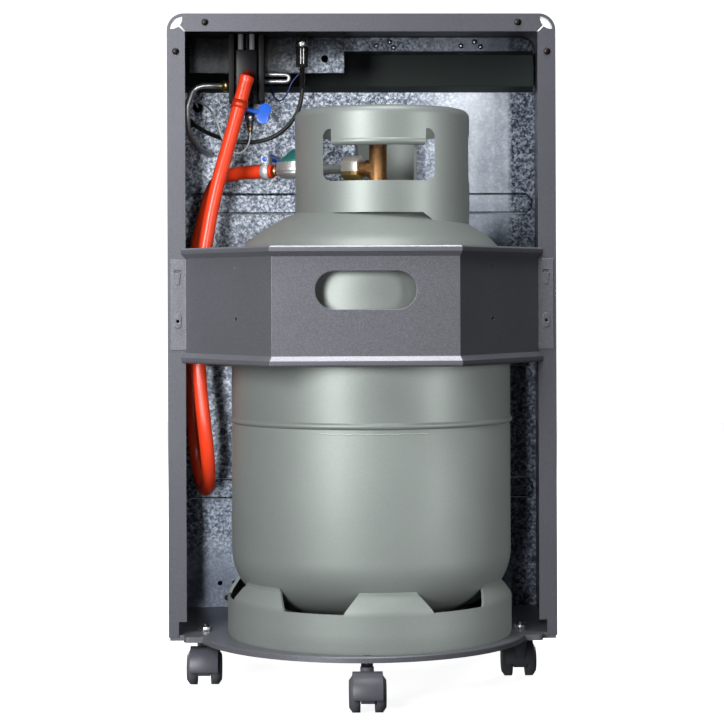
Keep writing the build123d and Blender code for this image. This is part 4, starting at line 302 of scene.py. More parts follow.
FINISHES = {
    "shell_paint": powder("paint_shell", (0.160, 0.163, 0.187)),
    "bar_paint": powder("paint_bar", (0.200, 0.203, 0.228)),
    "bottle_paint": enamel("enamel_bottle", (0.306, 0.339, 0.322), 0.54, 0.05, 0.42, BOTTLE_GLOSS_Z),
    "galvanised": spangle("zinc_spangle", (0.040, 0.052, 0.070), (0.36, 0.40, 0.47), (0.86, 0.90, 0.95)),
    "zinc": plated("zinc_bright", (0.62, 0.63, 0.65), 0.26),
    "baffle_paint": enamel("paint_baffle", (0.030, 0.042, 0.040), 0.36, 0.0),
    "bronze_screw": plated("zinc_bronze", (0.055, 0.045, 0.040), 0.38),
    "black_steel": powder("paint_black", (0.004, 0.004, 0.005), 0.05, 0.6, 0.2),
    "valve_brass": plated("brass_turned", (0.62, 0.47, 0.22), 0.28),
    "cast_alloy": plated("alloy_cast", (0.62, 0.63, 0.64), 0.38, 0.8),
    "block_cast": powder("paint_block", (0.014, 0.014, 0.016), 0.1, 0.36, 0.3),
    "cap_plastic": moulded("plastic_teal", (0.020, 0.130, 0.120), 0.35, 0.3),
    "handwheel_plastic": moulded("plastic_wheel", (0.020, 0.020, 0.022)),
    "knob_plastic": moulded("plastic_knob", (0.012, 0.012, 0.013), 0.4),
    "thumb_plastic": moulded("plastic_blue", (0.010, 0.120, 0.66), 0.3, 0.3),
    "hose_rubber": moulded("rubber_orange", (0.74, 0.046, 0.010), 0.30, 0.3, 500),
    "lead_rubber": moulded("rubber_black", (0.005, 0.005, 0.005), 0.55),
    "blue_wire": moulded("rubber_blue", (0.004, 0.009, 0.085), 0.4),
    "thermo_lead": plated("wire_pale", (0.66, 0.66, 0.66), 0.35, 0.7),
    "tube_aluminium": plated("tube_drawn", (0.46, 0.47, 0.48), 0.34, 0.9, UPRIGHT_STREAK),
    "igniter_plastic": moulded("plastic_igniter", (0.012, 0.012, 0.012), 0.25, 0.4),
    "caster_plastic": moulded("plastic_caster", (0.105, 0.108, 0.128), 0.38),
    "caster_tread": moulded("plastic_tread", (0.110, 0.112, 0.125), 0.45),
    "ceramic": moulded("ceramic_plaque", (0.62, 0.52, 0.40), 0.8, 0.0, 900),
    "burner_steel": plated("steel_burner", (0.40, 0.40, 0.41), 0.4, 0.9),
    "reflector_steel": plated("steel_reflector", (0.62, 0.62, 0.63), 0.18, 1.0, LEVEL_STREAK),
    "guard_chrome": plated("chrome_wire", (0.70, 0.71, 0.72), 0.12),
    "front_paint": powder("paint_front", (0.028, 0.028, 0.030), 0.2, 0.5, 0.25),
}
BRACKET_ZINC = ((0.050, 0.064, 0.085), (0.30, 0.34, 0.40), (0.75, 0.80, 0.86))
NODE_FINISH = {                       # nodes that look different from the rest of their slot
    "control_bracket": spangle("zinc_bracket", *BRACKET_ZINC, BRACKET_PAINTED_SHADE),
    "corner_gussets": plated("zinc_pale", (0.95, 0.95, 0.96), 0.6, 0.15),
    "valve_block": two_part("block_and_posts", (0.014, 0.014, 0.016), (0.42, 0.42, 0.43), POST_Z, 0.3),
    # painted light: the shell's paint made lighter on the base tray, for the light on its upward faces
    "base_tray": powder("paint_tray", (0.215, 0.220, 0.245)),
    "caster_stems": plated("stem_dull", (0.10, 0.10, 0.11), 0.45),
    "bottle_valve": plated("brass_raw", (0.50, 0.27, 0.12), 0.42),
    "union_nut": two_part("nut_glare", (0.52, 0.36, 0.13), (1.0, 0.98, 0.90), GLARE_Z, 0.7),
    "inlet_spigot": moulded("mouth_red", (0.22, 0.012, 0.006), 0.4),
    "hose_clips": two_part("clip_bands", (0.66, 0.67, 0.69), (0.70, 0.050, 0.014), UPPER_CLIP_Z, 0.5),
}

# ---------------------------------------------------------------- CAD nodes and pieces
SHARP = math.radians(32)
MERGE_GAP = 1e-6                      # metres
CASTER_HOOD_EDGE = 0.3
EDGE_WIDTH = {
    "cabinet_shell": 0.35, "base_tray": 0.5, "retaining_bar": 0.4, "control_pan": 0.4,
    "front_frame": 0.3, "valve_block": 0.5, "valve_channel": 0.4, "control_knob": 0.5,
    "caster_nuts": 0.3, "union_nut": 0.4, "regulator_body": 0.5, "regulator_cap": 0.4,
    "heat_baffle": 0.5, "bottle_valve": 0.3, "valve_handwheel": 0.6, "igniter_button": 0.3,
    "burner_boxes": 0.4, "control_bracket": 0.3, "divider_panel": 0.5, "thumb_screw_upper": 0.5,
    "thumb_screw_lower": 0.5,
}
FLAT_SHEETS = (
    "cabinet_shell", "retaining_bar", "divider_panel", "base_tray", "control_pan", "front_frame",
    "heat_baffle",
)


def smooth(mesh):
    """Smooth shading with sharp edges kept."""
    for polygon in mesh.polygons:
        polygon.use_smooth = True
    mesh.set_sharp_from_angle(angle=SHARP)


def soften(obj, width):
    """Round off a piece's sharp edges by a width in millimetres."""
    bevel = obj.modifiers.new("edge", "BEVEL")
    bevel.width = width * MM
    bevel.segments = 2
    bevel.limit_method = "ANGLE"
    bevel.angle_limit = SHARP


def dress_nodes():
    """Give every CAD node its finish, smooth shading and softened edges."""
    for name, obj in NODES.items():
        obj.data.materials.clear()
        obj.data.materials.append(NODE_FINISH.get(name, FINISHES[NODE_SLOT[name]]))
        smooth(obj.data)
        weld = obj.modifiers.new("weld", "WELD")
        weld.merge_threshold = MERGE_GAP
        width = CASTER_HOOD_EDGE if name.startswith("caster_hood") else EDGE_WIDTH.get(name)
        if width:
            soften(obj, width)
        if name in FLAT_SHEETS:
            even = obj.modifiers.new("even", "WEIGHTED_NORMAL")
            even.mode = "FACE_AREA"
            even.weight = 100
            even.thresh = 0.001
            even.keep_sharp = True


def put(name, data, finish, look=None):
    """Put a mesh or a curve in the scene as a piece that rides on the cabinet."""
    obj = bpy.data.objects.new(name, data)
    bpy.context.collection.objects.link(obj)
    data.materials.append(look or FINISHES[finish])
    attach(obj, "cabinet")
    return obj


def tube(name, kind, points, radius, roundness, steps=12):
    """A round tube along points in millimetres, as a curve and its one spline."""
    curve = bpy.data.curves.new(name, "CURVE")
    curve.dimensions = "3D"
    curve.resolution_u = steps
    curve.bevel_depth = radius * MM
    curve.bevel_resolution = roundness
    curve.use_fill_caps = True
    spline = curve.splines.new(kind)
    spline.points.add(len(points) - 1)
    for point, place in zip(spline.points, points):
        point.co = (*(value * MM for value in place), 1.0)
    return curve, spline


# ---------------------------------------------------------------- cords
HOSE = (
    (-126.774, -1.725, 656.804), (-141.267, -9.261, 601.151), (-162.8, -25.75, 524.7),
    (-180.0, -34.75, 415.0), (-178.0, -38.75, 330.0), (-168.0, -39.75, 248.0), (-169.0, 4.25, 203.5),
    (-182.0, 76.25, 203.5), (-192.5, 123.25, 251.5), (-197.0, 125.25, 372.0), (-192.0, 121.25, 465.0),
    (-178.0, 112.25, 518.0), (-166.0, 82.25, 549.0), (-146.223, 40.828, 559.0), (-97.282, 18.007, 559.0),
)
IGNITION = (
    (-64.4, 22.25, 650.95), (-65.5, 22.75, 632.0), (-79.0, 25.25, 610.0), (-101.0, 29.25, 594.5),
    (-132.0, 33.25, 591.0), (-166.0, 37.25, 600.0), (-191.0, 54.25, 616.0), (-197.0, 80.25, 621.0),
    (-197.0, 108.25, 622.0), (-197.0, 135.1, 622.0),
)
BLUE = (
    (-67.55, 22.25, 668.0), (-75.5, 22.75, 661.0), (-81.0, 25.25, 646.0), (-89.0, 29.25, 636.5),
    (-98.0, 38.25, 645.0), (-99.5, 50.25, 659.0), (-99.0, 52.25, 671.85),
)
THERMO = (
    (-123.0, 26.25, 602.85), (-123.0, 26.25, 588.0), (-138.0, 21.25, 576.0), (-153.0, 18.25, 592.0),
    (-159.0, 18.25, 614.0), (-167.0, 21.25, 629.0), (-177.0, 32.25, 636.0), (-184.0, 54.25, 640.0),
    (-187.0, 82.25, 641.0), (-187.0, 135.1, 641.0),
)
CORDS = (   # node, route, radius, length in metres, finish, stiffness
    ("gas_hose", HOSE, 7.75, 1.0, "hose_rubber", "medium"),
    ("ignition_lead", IGNITION, 2.4, 0.25, "lead_rubber", "medium"),
    ("blue_wire", BLUE, 0.9, 0.084, "blue_wire", "limp"),
    ("thermocouple_lead", THERMO, 1.1, 0.212, "thermo_lead", "stiff"),
)
CORD_ROUNDNESS = 6
CORD_STEPS = 14


def cord(node, route, radius, length, finish, stiffness):
    """One smooth NURBS cord along a route in millimetres, in place of its CAD solid."""
    curve, spline = tube(node + "_line", "NURBS", route, radius, CORD_ROUNDNESS, CORD_STEPS)
    spline.order_u = 3
    spline.use_endpoint_u = True
    obj = put(node + "_cord", curve, finish)
    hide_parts(node)


# ---------------------------------------------------------------- mesh helpers
POLE = 0.01                           # a ring with a smaller radius is one point on the axis
LINE_ROUNDNESS = 3


def piece(name, mesh, finish, look=None):
    """Put a mesh in the scene as a smooth-shaded piece that rides on the cabinet."""
    smooth(mesh)
    return put(name, mesh, finish, look)


def line_piece(name, points, radius, finish, look=None):
    """A thin round bead or wire through points in millimetres."""
    curve, _ = tube(name, "POLY", points, radius, LINE_ROUNDNESS)
    return put(name, curve, finish, look)


def finished(name, made):
    """Turn a bmesh into a mesh whose faces look outward."""
    bmesh.ops.recalc_face_normals(made, faces=made.faces)
    mesh = bpy.data.meshes.new(name)
    made.to_mesh(mesh)
    made.free()
    return mesh


def lathed(name, centre, rows, sides=24, axis="Z", closed=False):
    """A turned mesh in millimetres from rows of (distance along the axis, radius).

    A closed one joins its last row to its first, and an open one has a cap at each end.
    """
    made = bmesh.new()
    rings = []
    for along, radius in rows:
        ring = []
        for index in range(sides if radius > POLE else 1):
            turn = math.tau * index / sides
            u, v = radius * math.cos(turn), radius * math.sin(turn)
            offset = {"X": (along, u, v), "Y": (u, along, v), "Z": (u, v, along)}[axis]
            ring.append(made.verts.new([(a + b) * MM for a, b in zip(centre, offset)]))
        rings.append(ring)
    last = [(rings[-1], rings[0])] if closed else []
    for ring, following in [*zip(rings, rings[1:]), *last]:
        for index in range(sides):
            corners = [ring[index % len(ring)], ring[(index + 1) % len(ring)],
                       following[(index + 1) % len(following)], following[index % len(following)]]
            unique = list(dict.fromkeys(corners))
            if len(unique) > 2:
                made.faces.new(unique)
    if not closed:
        made.faces.new(rings[0])
        made.faces.new(rings[-1])
    return finished(name, made)


def upright(name, centre, section, sides):
    """A closed turned mesh on an upright axis, from a section of (radius, height)."""
    rows = [(height, radius) for radius, height in section]
    return lathed(name, (*centre, 0), rows, sides, closed=True)


def around(centre, reach, degrees):
    """Place at a reach from an upright axis, turned from the rear towards +X."""
    turn = math.radians(degrees)
    return centre[0] + reach * math.sin(turn), centre[1] - reach * math.cos(turn)


def rounded(half_w, low, high, radius, steps=6):
    """Corners of an upright rectangle with round corners, as (across, height)."""
    points = []
    for side_x, side_z, start in ((1, 1, 0), (-1, 1, 90), (-1, -1, 180), (1, -1, 270)):
        middle_x = side_x * (half_w - radius)
        middle_z = high - radius if side_z > 0 else low + radius
        for step in range(steps + 1):
            turn = math.radians(start + 90 * step / steps)
            points.append((middle_x + radius * math.cos(turn), middle_z + radius * math.sin(turn)))
    return points


def cutter(centre, degrees, outline, near, far):
    """Prism of an outline (across, height) that reaches outward from an upright axis."""
    turn = math.radians(degrees)
    out = Vector((math.sin(turn), -math.cos(turn), 0))
    across = Vector((math.cos(turn), math.sin(turn), 0))
    made = bmesh.new()
    ends = []
    for reach in (near, far):
        places = [Vector((*centre, z)) + across * u + out * reach for u, z in outline]
        ends.append([made.verts.new(place * MM) for place in places])
        made.faces.new(ends[-1])
    for index in range(len(outline)):
        after = (index + 1) % len(outline)
        made.faces.new((ends[0][index], ends[0][after], ends[1][after], ends[1][index]))
    obj = bpy.data.objects.new("cutter", finished("cutter", made))
    bpy.context.collection.objects.link(obj)
    return obj


def cut(mesh, cutters):
    """The mesh with every cutter taken out of it."""
    obj = bpy.data.objects.new("blank", mesh)
    bpy.context.collection.objects.link(obj)
    for tool in cutters:
        step = obj.modifiers.new("cut", "BOOLEAN")
        step.object = tool
        step.solver = "EXACT"
    bpy.context.view_layer.update()
    graph = bpy.context.evaluated_depsgraph_get()
    done = bpy.data.meshes.new_from_object(obj.evaluated_get(graph))
    for gone in [obj, *cutters]:
        bpy.data.objects.remove(gone)
    return done


# ---------------------------------------------------------------- bottle
BOTTLE_AXIS = (9.4, -35.75)
BOTTLE_RADIUS = 151.5
WALL_LOW_Z = 146.0
WALL_HIGH_Z = 436.0
KNUCKLE = 60.0                        # radius of the arc between the wall and a dome's crown
KNUCKLE_STEPS = 12
CROWN_STEPS = 10
DOME_UP = 90.0
DOME_DOWN = 80.0
SMOOTH_SIDES = 128
CUT_EDGE = 0.5                        # softened edge of the cut sheet pieces

SEAM_Z = 287.0
SEAM = (                              # raised roll over a groove, (out, up) from the wall at SEAM_Z
    (0.0, -7.5), (-1.0, -5.2), (-1.2, -3.9), (0.8, -3.1), (1.8, -1.8), (2.1, -0.2), (1.6, 1.3),
    (0.5, 2.3), (0.0, 3.0),
)
NECK_OFFSET = 8.6
NECK_RADIUS = 15.0
NECK_BORE = 11.2
NECK_LOW_Z = 519.0
NECK_HIGH_Z = 538.0
NECK_CHAMFER = 1.0
NECK_SIDES = 48


def bottle_piece(name, mesh, node):
    """A piece in the bottle's enamel that stands for a CAD node."""
    obj = piece(name, mesh, "bottle_paint")
    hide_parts(node)
    return obj


def dome(height, sign, base):
    """Section of a dome from the wall to the axis: a tight shoulder arc, then a flat crown arc."""
    side = BOTTLE_RADIUS - KNUCKLE
    crown = (KNUCKLE ** 2 - side ** 2 - height ** 2) / (2 * (KNUCKLE - height))
    middle = height - crown
    tilt = math.atan2(side, -middle)
    points = []
    for step in range(KNUCKLE_STEPS):
        turn = math.pi / 2 - (math.pi / 2 - tilt) * step / KNUCKLE_STEPS
        points.append((side + KNUCKLE * math.sin(turn), base + sign * KNUCKLE * math.cos(turn)))
    for step in range(CROWN_STEPS):
        turn = tilt * (1 - step / CROWN_STEPS)
        points.append((crown * math.sin(turn), base + sign * (middle + crown * math.cos(turn))))
    return points + [(0.0, base + sign * height)]


def smooth_bottle():
    """Finely rounded body with its raised seam, in place of the flat-sided solid, and its neck."""
    low = dome(DOME_DOWN, -1, WALL_LOW_Z)
    waist = [(BOTTLE_RADIUS + out, SEAM_Z + up) for out, up in SEAM]
    section = [*reversed(low), *waist, *dome(DOME_UP, 1, WALL_HIGH_Z)]
    body = upright("bottle_round", BOTTLE_AXIS, section, SMOOTH_SIDES)
    bottle_piece("bottle_round", body, "bottle_body")
    place = (BOTTLE_AXIS[0] + NECK_OFFSET, BOTTLE_AXIS[1])
    neck = [
        (NECK_BORE, NECK_LOW_Z), (NECK_RADIUS, NECK_LOW_Z), (NECK_RADIUS, NECK_HIGH_Z - NECK_CHAMFER),
        (NECK_RADIUS - NECK_CHAMFER, NECK_HIGH_Z), (NECK_BORE, NECK_HIGH_Z),
    ]
    piece("bottle_neck", upright("bottle_neck", place, neck, NECK_SIDES), "bottle_paint")


FOOT_OFFSET = -2.1
FOOT_OUTSIDE = (
    (153.3, 54.5), (154.5, 58.5), (154.5, 75.0), (154.5, 93.0), (154.5, 96.5), (153.6, 99.5),
    (147.6, 109.8), (144.8, 113.0), (144.6, 116.3),
)
FOOT_INSIDE = (
    (141.6, 116.3), (141.8, 111.8), (144.7, 108.4), (150.7, 98.2), (151.5, 95.8), (151.5, 93.0),
    (151.5, 75.0), (151.5, 58.5), (150.3, 54.5),
)
FOOT_WINDOW = ((-33.0, 95.0), (33.0, 95.0), (46.0, 118.0), (-46.0, 118.0))
FOOT_WINDOWS = 6
FOOT_WINDOW_TURN = -84.0
FOOT_CUT = (60, 175)                  # reach of the window cutters from the ring's axis


def smooth_foot():
    """Finely rounded foot ring with its vent windows."""
    centre = (BOTTLE_AXIS[0] + FOOT_OFFSET, BOTTLE_AXIS[1])
    pitch = 360 / FOOT_WINDOWS
    windows = [cutter(centre, FOOT_WINDOW_TURN + index * pitch, FOOT_WINDOW, *FOOT_CUT)
               for index in range(FOOT_WINDOWS)]
    ring = upright("foot_round", centre, [*FOOT_OUTSIDE, *FOOT_INSIDE], SMOOTH_SIDES)
    soften(bottle_piece("bottle_foot_round", cut(ring, windows), "bottle_foot_ring"), CUT_EDGE)


COLLAR_OFFSET = 13.2
COLLAR_RADIUS = 95.0
COLLAR_LOW_Z = 490.7
COLLAR_TOP_Z = 621.0
COLLAR_SHEET = 3.0
COLLAR_BEND = 9.0                     # radius of the shoulder that is rolled inward
COLLAR_LIP = 2.0                      # flat inside the shoulder
COLLAR_BEND_STEPS = 8
COLLAR_CUT = (40, 120)                # reach of the cutters from the guard's axis
DRAIN_GAP = ((-56.0, 478.0), (56.0, 478.0), (56.0, 500.8), (47.0, 507.8), (-47.0, 507.8), (-56.0, 500.8))
WINDOW_TURN = -4.8
WINDOW_HALF_ANGLE = 38.4
WINDOW_LOW_Z = 541.0
WINDOW_HIGH_Z = 596.0
WINDOW_ROUND = 9.5
SLOT_SHOULDER = ((0.0, -6.0), (-3.0, -1.4), (-6.0, 0.0))   # from the rear window's upper corner
FLAP_HALF = 50.0
FLAP_LOW_Z = 580.0
GRIP_Z = 582.7
GRIP_RADIUS = 4.5
GRIP_INSET = 1.8                      # the rolled grip lies this far inside the middle of the sheet
GRIP_HALF_ANGLE = 31.0
GRIP_STEPS = 30


def collar_section():
    """Section of the valve guard's sheet, with its shoulder rolled inward at the top."""
    edge = COLLAR_RADIUS - COLLAR_BEND
    lip = edge - COLLAR_LIP
    turns = [math.radians(90 * step / COLLAR_BEND_STEPS) for step in range(COLLAR_BEND_STEPS + 1)]

    def arc(reach, angles):
        middle_z = COLLAR_TOP_Z - COLLAR_BEND
        return [(edge + reach * math.cos(turn), middle_z + reach * math.sin(turn)) for turn in angles]

    return [
        (COLLAR_RADIUS - COLLAR_SHEET, COLLAR_LOW_Z), (COLLAR_RADIUS, COLLAR_LOW_Z),
        *arc(COLLAR_BEND, turns),
        (lip, COLLAR_TOP_Z), (lip, COLLAR_TOP_Z - COLLAR_SHEET),
        *arc(COLLAR_BEND - COLLAR_SHEET, reversed(turns)),
    ]


def rear_window(half_w):
    """Outline of the rear hand window: a flap for the grip hangs between two slots at its top."""
    plain = rounded(half_w, WINDOW_LOW_Z, WINDOW_HIGH_Z, WINDOW_ROUND)
    low = [(across, height) for across, height in plain if height < FLAP_LOW_Z]
    right = [(half_w + out, WINDOW_HIGH_Z + up) for out, up in SLOT_SHOULDER]
    right += [(FLAP_HALF, WINDOW_HIGH_Z), (FLAP_HALF, FLAP_LOW_Z)]
    return [*low, *right, *((-across, height) for across, height in reversed(right))]


def hand_grip(centre):
    """Rolled edge of the flap, a round bar that follows the guard's curve."""
    reach = COLLAR_RADIUS - COLLAR_SHEET / 2 - GRIP_INSET
    points = []
    for step in range(GRIP_STEPS + 1):
        turn = WINDOW_TURN + GRIP_HALF_ANGLE * (2 * step / GRIP_STEPS - 1)
        points.append((*around(centre, reach, turn), GRIP_Z))
    line_piece("bottle_grip", points, GRIP_RADIUS, "bottle_paint")


def smooth_collar():
    """Finely rounded valve guard with a hand window and a drain gap on each third, and its grip."""
    centre = (BOTTLE_AXIS[0] + COLLAR_OFFSET, BOTTLE_AXIS[1])
    half_w = COLLAR_RADIUS * math.sin(math.radians(WINDOW_HALF_ANGLE))
    plain = rounded(half_w, WINDOW_LOW_Z, WINDOW_HIGH_Z, WINDOW_ROUND)
    cutters = []
    for third, window in enumerate((rear_window(half_w), plain, plain)):
        turn = WINDOW_TURN + 120 * third
        cutters += [cutter(centre, turn, outline, *COLLAR_CUT) for outline in (window, DRAIN_GAP)]
    ring = upright("collar_round", centre, collar_section(), SMOOTH_SIDES)
    soften(bottle_piece("bottle_collar_round", cut(ring, cutters), "bottle_collar"), CUT_EDGE)
    hand_grip(centre)


WELD_Z = 278.8
WELD_RADIUS = 0.7
WELD_SINK = 0.15
WELD_START = -22.0                    # degrees from the rear
WELD_SPAN = 43.0
WELD_STEPS = 60
WELD_WAVES = ((0.25, 0.7), (0.2, 1.7))   # height of a wave and its pace per step


def weld_bead():
    """Wandering weld line just under the bottle's seam."""
    points = []
    for step in range(WELD_STEPS + 1):
        turn = WELD_START + WELD_SPAN * step / WELD_STEPS
        place = around(BOTTLE_AXIS, BOTTLE_RADIUS - WELD_SINK, turn)
        wander = sum(high * math.sin(step * pace) for high, pace in WELD_WAVES)
        points.append((*place, WELD_Z + wander))
    look = enamel("enamel_weld", (0.50, 0.55, 0.52), 0.4, 0.1, 0.3)
    line_piece("bottle_weld", points, WELD_RADIUS, "bottle_paint", look)


# ---------------------------------------------------------------- small details
HOSE_END_WAY = (-0.249875, -0.129935, -0.95952)   # the way that the hose leaves the inlet
HOSE_CUFF = ((-5.6, 6.0), (-6.2, 7.4), (-5.4, 8.3), (-1.5, 8.5), (0.5, 8.0), (1.5, 7.6), (1.5, 6.0))
CUFF_SIDES = 32


def hose_cuff():
    """Flared rubber cuff where the hose is pushed over the inlet."""
    mesh = lathed("hose_cuff", (0, 0, 0), HOSE_CUFF, CUFF_SIDES, closed=True)
    turn = Vector(HOSE_END_WAY).to_track_quat("Z", "Y").to_matrix().to_4x4()
    mesh.transform(Matrix.Translation(Vector(HOSE[0]) * MM) @ turn)
    piece("hose_cuff", mesh, "hose_rubber")


BEAD_BOTTOMS = (182.0, 337.0, 515.5)
BEAD_HEIGHT = 24.5
BEAD_FACE_Y = 137.25
BEAD_SHADOW_Z = 500.0                 # the bead above this level has painted shadow along its upper edge
BEAD_LINE_INSET = 0.6
BEAD_LINE = ((-198.0, 0.1), (-196.0, 0.5), (196.0, 0.5), (198.0, 0.1))   # place along the edge, radius
BEAD_LINE_SIDES = 8


def bead_lines():
    """Long edges of the divider's three pressed beads, as lines of painted highlight, with painted
    shadow on the top bead's upper edge.
    """
    bright = plated("zinc_edge", (0.92, 0.94, 0.98), 0.5, 0.1)
    shadow = plated("zinc_shadow", (0.02, 0.02, 0.03), 0.6, 0.1)
    for low in BEAD_BOTTOMS:
        high = low + BEAD_HEIGHT
        upper = shadow if low > BEAD_SHADOW_Z else bright
        for level, look in ((low + BEAD_LINE_INSET, bright), (high - BEAD_LINE_INSET, upper)):
            line = lathed("bead_edge", (0, BEAD_FACE_Y, level), BEAD_LINE, BEAD_LINE_SIDES, "X")
            piece("bead_edge", line, "galvanised", look)


UNION_PLACE = (-123.0, 26.25, 0.0)
THERMO_NUT = ((621.2, 4.4), (622.0, 5.0), (628.6, 5.0), (629.4, 4.4))
THERMO_SLEEVE = ((611.5, 3.2), (613.0, 3.9), (621.2, 3.9))


def union_details():
    """Bright hexagon nut and sleeve on the thermocouple union."""
    piece("thermo_nut", lathed("union_nut_small", UNION_PLACE, THERMO_NUT, 6), "zinc")
    piece("thermo_sleeve", lathed("union_sleeve", UNION_PLACE, THERMO_SLEEVE), "zinc")


IGNITER_PLACE = (-64.4, 22.25, 0.0)
IGNITER_RADIUS = 7.0
IGNITER_WASHER = ((698.4, 6.4), (698.8, 7.0), (703.0, 7.0), (703.4, 6.4))
# the two pale lines are a painted highlight on the igniter's black body
HIGHLIGHT_SPREAD = 1.6
HIGHLIGHT_LOW_Z = 678.5
HIGHLIGHT_HIGH_Z = 696.0
HIGHLIGHT_RADIUS = 0.55


def igniter_details():
    """Washer over the igniter's body and two pale lines down its front, a painted highlight on the black
    body.
    """
    piece("igniter_washer", lathed("washer", IGNITER_PLACE, IGNITER_WASHER), "zinc")
    y = IGNITER_PLACE[1] - math.sqrt(IGNITER_RADIUS ** 2 - HIGHLIGHT_SPREAD ** 2)
    for x in (IGNITER_PLACE[0] - HIGHLIGHT_SPREAD, IGNITER_PLACE[0] + HIGHLIGHT_SPREAD):
        line_piece("igniter_key", [(x, y, HIGHLIGHT_LOW_Z), (x, y, HIGHLIGHT_HIGH_Z)], HIGHLIGHT_RADIUS, "cast_alloy")


SHELL_HALF = 210.0
SHELL_TOP = 725.0
SCREW_INSET = 9.5
SCREW_PITCH = 41.0
SCREW_HEAD = 2.25
CROSS_HALF = 1.5
CROSS_RADIUS = 0.32


def screw_crosses():
    """Cross recesses in the heads of the flange screws, drawn as dark crossed bars of painted shade."""
    y = FLANGE_Y - SCREW_HEAD
    for sign in (-1, 1):
        places = ((sign * (SHELL_HALF - SCREW_PITCH), SHELL_TOP - SCREW_INSET),
                  (sign * (SHELL_HALF - SCREW_INSET), SHELL_TOP - SCREW_PITCH))
        for x, z in places:
            for run_x, run_z in ((CROSS_HALF, 0.0), (0.0, CROSS_HALF)):
                ends = [(x - run_x, y, z - run_z), (x + run_x, y, z + run_z)]
                line_piece("screw_cross", ends, CROSS_RADIUS, "lead_rubber")


# painted shade: a dark disc where the divider has a small round hole
HOLE_SHADE_PLACE = (-155.0, 0.0, 66.0)
HOLE_SHADE_DISC = ((139.2, 3.2), (139.7, 3.2), (140.1, 2.6))
HOLE_SHADE_SIDES = 20


def foot_grommet():
    """Small dark disc low on the divider beside the bottle's foot, painted shade standing for a round
    hole.
    """
    ring = lathed("foot_grommet", HOLE_SHADE_PLACE, HOLE_SHADE_DISC, HOLE_SHADE_SIDES, "Y")
    piece("foot_grommet", ring, "lead_rubber")


# ---------------------------------------------------------------- stage
STAGE_REACH = 4.6
STAGE_HEIGHT = 4.0
STAGE_SIDES = 64
FLOOR_GLOW = 0.9
WALL_GLOW = 1.0


def pale(name, glow):
    """Matt white stage surface that glows, so that it reads as an even white ground."""
    m = Mat(name, 0.8, 0.0, Emission_Color=(1.0, 1.0, 1.0, 1.0), Emission_Strength=glow)
    m.colour(m.ramp(m.noise(3, 2.0), (0.3, grey(0.80)), (0.7, grey(0.82))))
    return m.mat


def backdrop(name, corners, faces, glow):
    """A stage surface that only the camera sees."""
    mesh = bpy.data.meshes.new(name)
    mesh.from_pydata(corners, [], faces)
    mesh.materials.append(pale(name + "_pale", glow))
    obj = bpy.data.objects.new(name, mesh)
    bpy.context.collection.objects.link(obj)
    obj.visible_diffuse = False
    obj.visible_glossy = False
    obj.visible_transmission = False
    obj.visible_shadow = False


def stage():
    """Plain pale floor with a round wall."""
    turns = [math.tau * index / STAGE_SIDES for index in range(STAGE_SIDES)]
    ring = [(STAGE_REACH * math.cos(turn), STAGE_REACH * math.sin(turn)) for turn in turns]
    low = [(x, y, 0.0) for x, y in ring]
    high = [(x, y, STAGE_HEIGHT) for x, y in ring]
    walls = []
    for index in range(STAGE_SIDES):
        after = (index + 1) % STAGE_SIDES
        walls.append((index, after, STAGE_SIDES + after, STAGE_SIDES + index))
    backdrop("floor", low, [tuple(range(STAGE_SIDES))], FLOOR_GLOW)
    backdrop("wall", low + high, walls, WALL_GLOW)


# ---------------------------------------------------------------- lights
WORLD_COLOUR = (0.90, 0.94, 1.0, 1.0)
WORLD_STRENGTH = 0.09
BAY_SLOTS = (
    "galvanised", "zinc", "valve_brass", "cast_alloy", "cap_plastic", "handwheel_plastic",
    "thumb_plastic", "tube_aluminium", "igniter_plastic",
)
BAY_NAMES = ("gas_hose_", "ignition_", "blue_", "thermo", "igniter_", "bead_", "hose_", "foot_grommet")
LIGHTS = (   # name, place, target, size, energy, and the group that it is kept to
    ("key_left", (-1.25, -2.2, 1.0), (0, 0, 0.4), (0.7, 1.7), 66, "all"),
    ("top", (0, -0.6, 2.4), (0, 0, 0.3), (1.4, 0.8), 24, "all"),
    ("far_left", (1.5, 2.3, 1.0), (0, 0, 0.4), (0.8, 1.6), 75, "all"),
    ("far_right", (-1.5, 2.4, 0.9), (0, 0, 0.4), (0.7, 1.4), 50, "all"),
    ("bay_right", (0.75, -2.3, 0.65), (-0.12, 0.1, 0.40), (0.5, 1.2), 20, "bay"),
    ("bay_front", (-0.32, -2.3, 0.35), (-0.1, 0.1, 0.35), (0.12, 0.5), 13, "bay"),
    ("bar_top", (0, -0.42, 1.9), (0, -0.19, 0.41), (0.9, 0.35), 16, "bar"),
    ("bottle_right", (2.0, -1.65, 0.6), (0.05, 0, 0.35), (0.6, 1.3), 22, "bottle"),
)


def area_light(name, place, target, size, energy, group):
    """A soft light aimed at a target, which may be kept to a group of pieces."""
    data = bpy.data.lights.new(name, "AREA")
    data.shape = "RECTANGLE"
    data.size, data.size_y = size
    data.energy = energy
    obj = bpy.data.objects.new(name, data)
    bpy.context.collection.objects.link(obj)
    obj.location = place
    obj.rotation_euler = (Vector(target) - Vector(place)).to_track_quat("-Z", "Y").to_euler()
    obj.visible_camera = False
    if group:
        lit = bpy.data.collections.new(name + "_lights")
        for member in dict.fromkeys(group):
            lit.objects.link(member)
        obj.light_linking.receiver_collection = lit


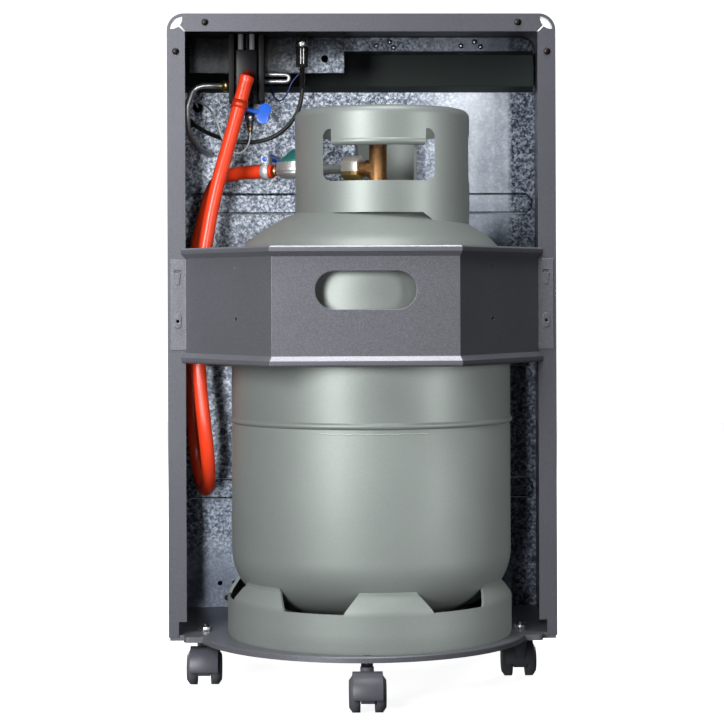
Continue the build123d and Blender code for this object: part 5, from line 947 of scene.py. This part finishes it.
def lights():
    """Soft studio light, with fill kept to the open bay, the bar and the bottle."""
    world = bpy.data.worlds.new("studio")
    bpy.context.scene.world = world
    world.use_nodes = True
    background = world.node_tree.nodes["Background"]
    background.inputs[0].default_value = WORLD_COLOUR
    background.inputs[1].default_value = WORLD_STRENGTH
    bpy.context.scene.view_settings.view_transform = "Standard"
    bay = [obj for name, obj in NODES.items() if NODE_SLOT[name] in BAY_SLOTS]
    bay += [obj for obj in bpy.data.objects if obj.name.startswith(BAY_NAMES)]
    bottle = [obj for obj in bpy.data.objects if obj.data and obj.name.startswith("bottle_")]
    groups = {"all": None, "bay": bay, "bar": [NODES["retaining_bar"]], "bottle": bottle}
    for name, place, target, size, energy, group in LIGHTS:
        area_light(name, place, target, size, energy, groups[group])


# ---------------------------------------------------------------- camera
CAMERA_X = -58.0
CAMERA_BACK = 2250.0                  # behind the rear flange
CAMERA_Z = 424.0
FOCAL_PX = 2084.0
PICTURE_PX = 724.0
HORIZON_PX = 292.0
SENSOR_MM = 36.0
YAW = math.radians(1.465)
ROLL = math.radians(0.2)


def camera():
    """Camera at the photograph's place and angle."""
    data = bpy.data.cameras.new("photo_view")
    data.sensor_width = SENSOR_MM
    data.lens = FOCAL_PX / PICTURE_PX * SENSOR_MM
    data.shift_y = -(PICTURE_PX / 2 - HORIZON_PX) / PICTURE_PX
    obj = bpy.data.objects.new("photo_view", data)
    bpy.context.collection.objects.link(obj)
    turn = Euler((math.pi / 2, 0, -YAW)).to_matrix().to_4x4() @ Matrix.Rotation(-ROLL, 4, "Z")
    place = Matrix.Translation((CAMERA_X * MM, (FLANGE_Y - CAMERA_BACK) * MM, CAMERA_Z * MM))
    obj.matrix_world = place @ turn
    bpy.context.scene.camera = obj


# ---------------------------------------------------------------- making
dress_nodes()
for row in CORDS:
    cord(*row)
smooth_bottle()
smooth_foot()
smooth_collar()
weld_bead()
hose_cuff()
bead_lines()
union_details()
igniter_details()
screw_crosses()
foot_grommet()
stage()
lights()
camera()
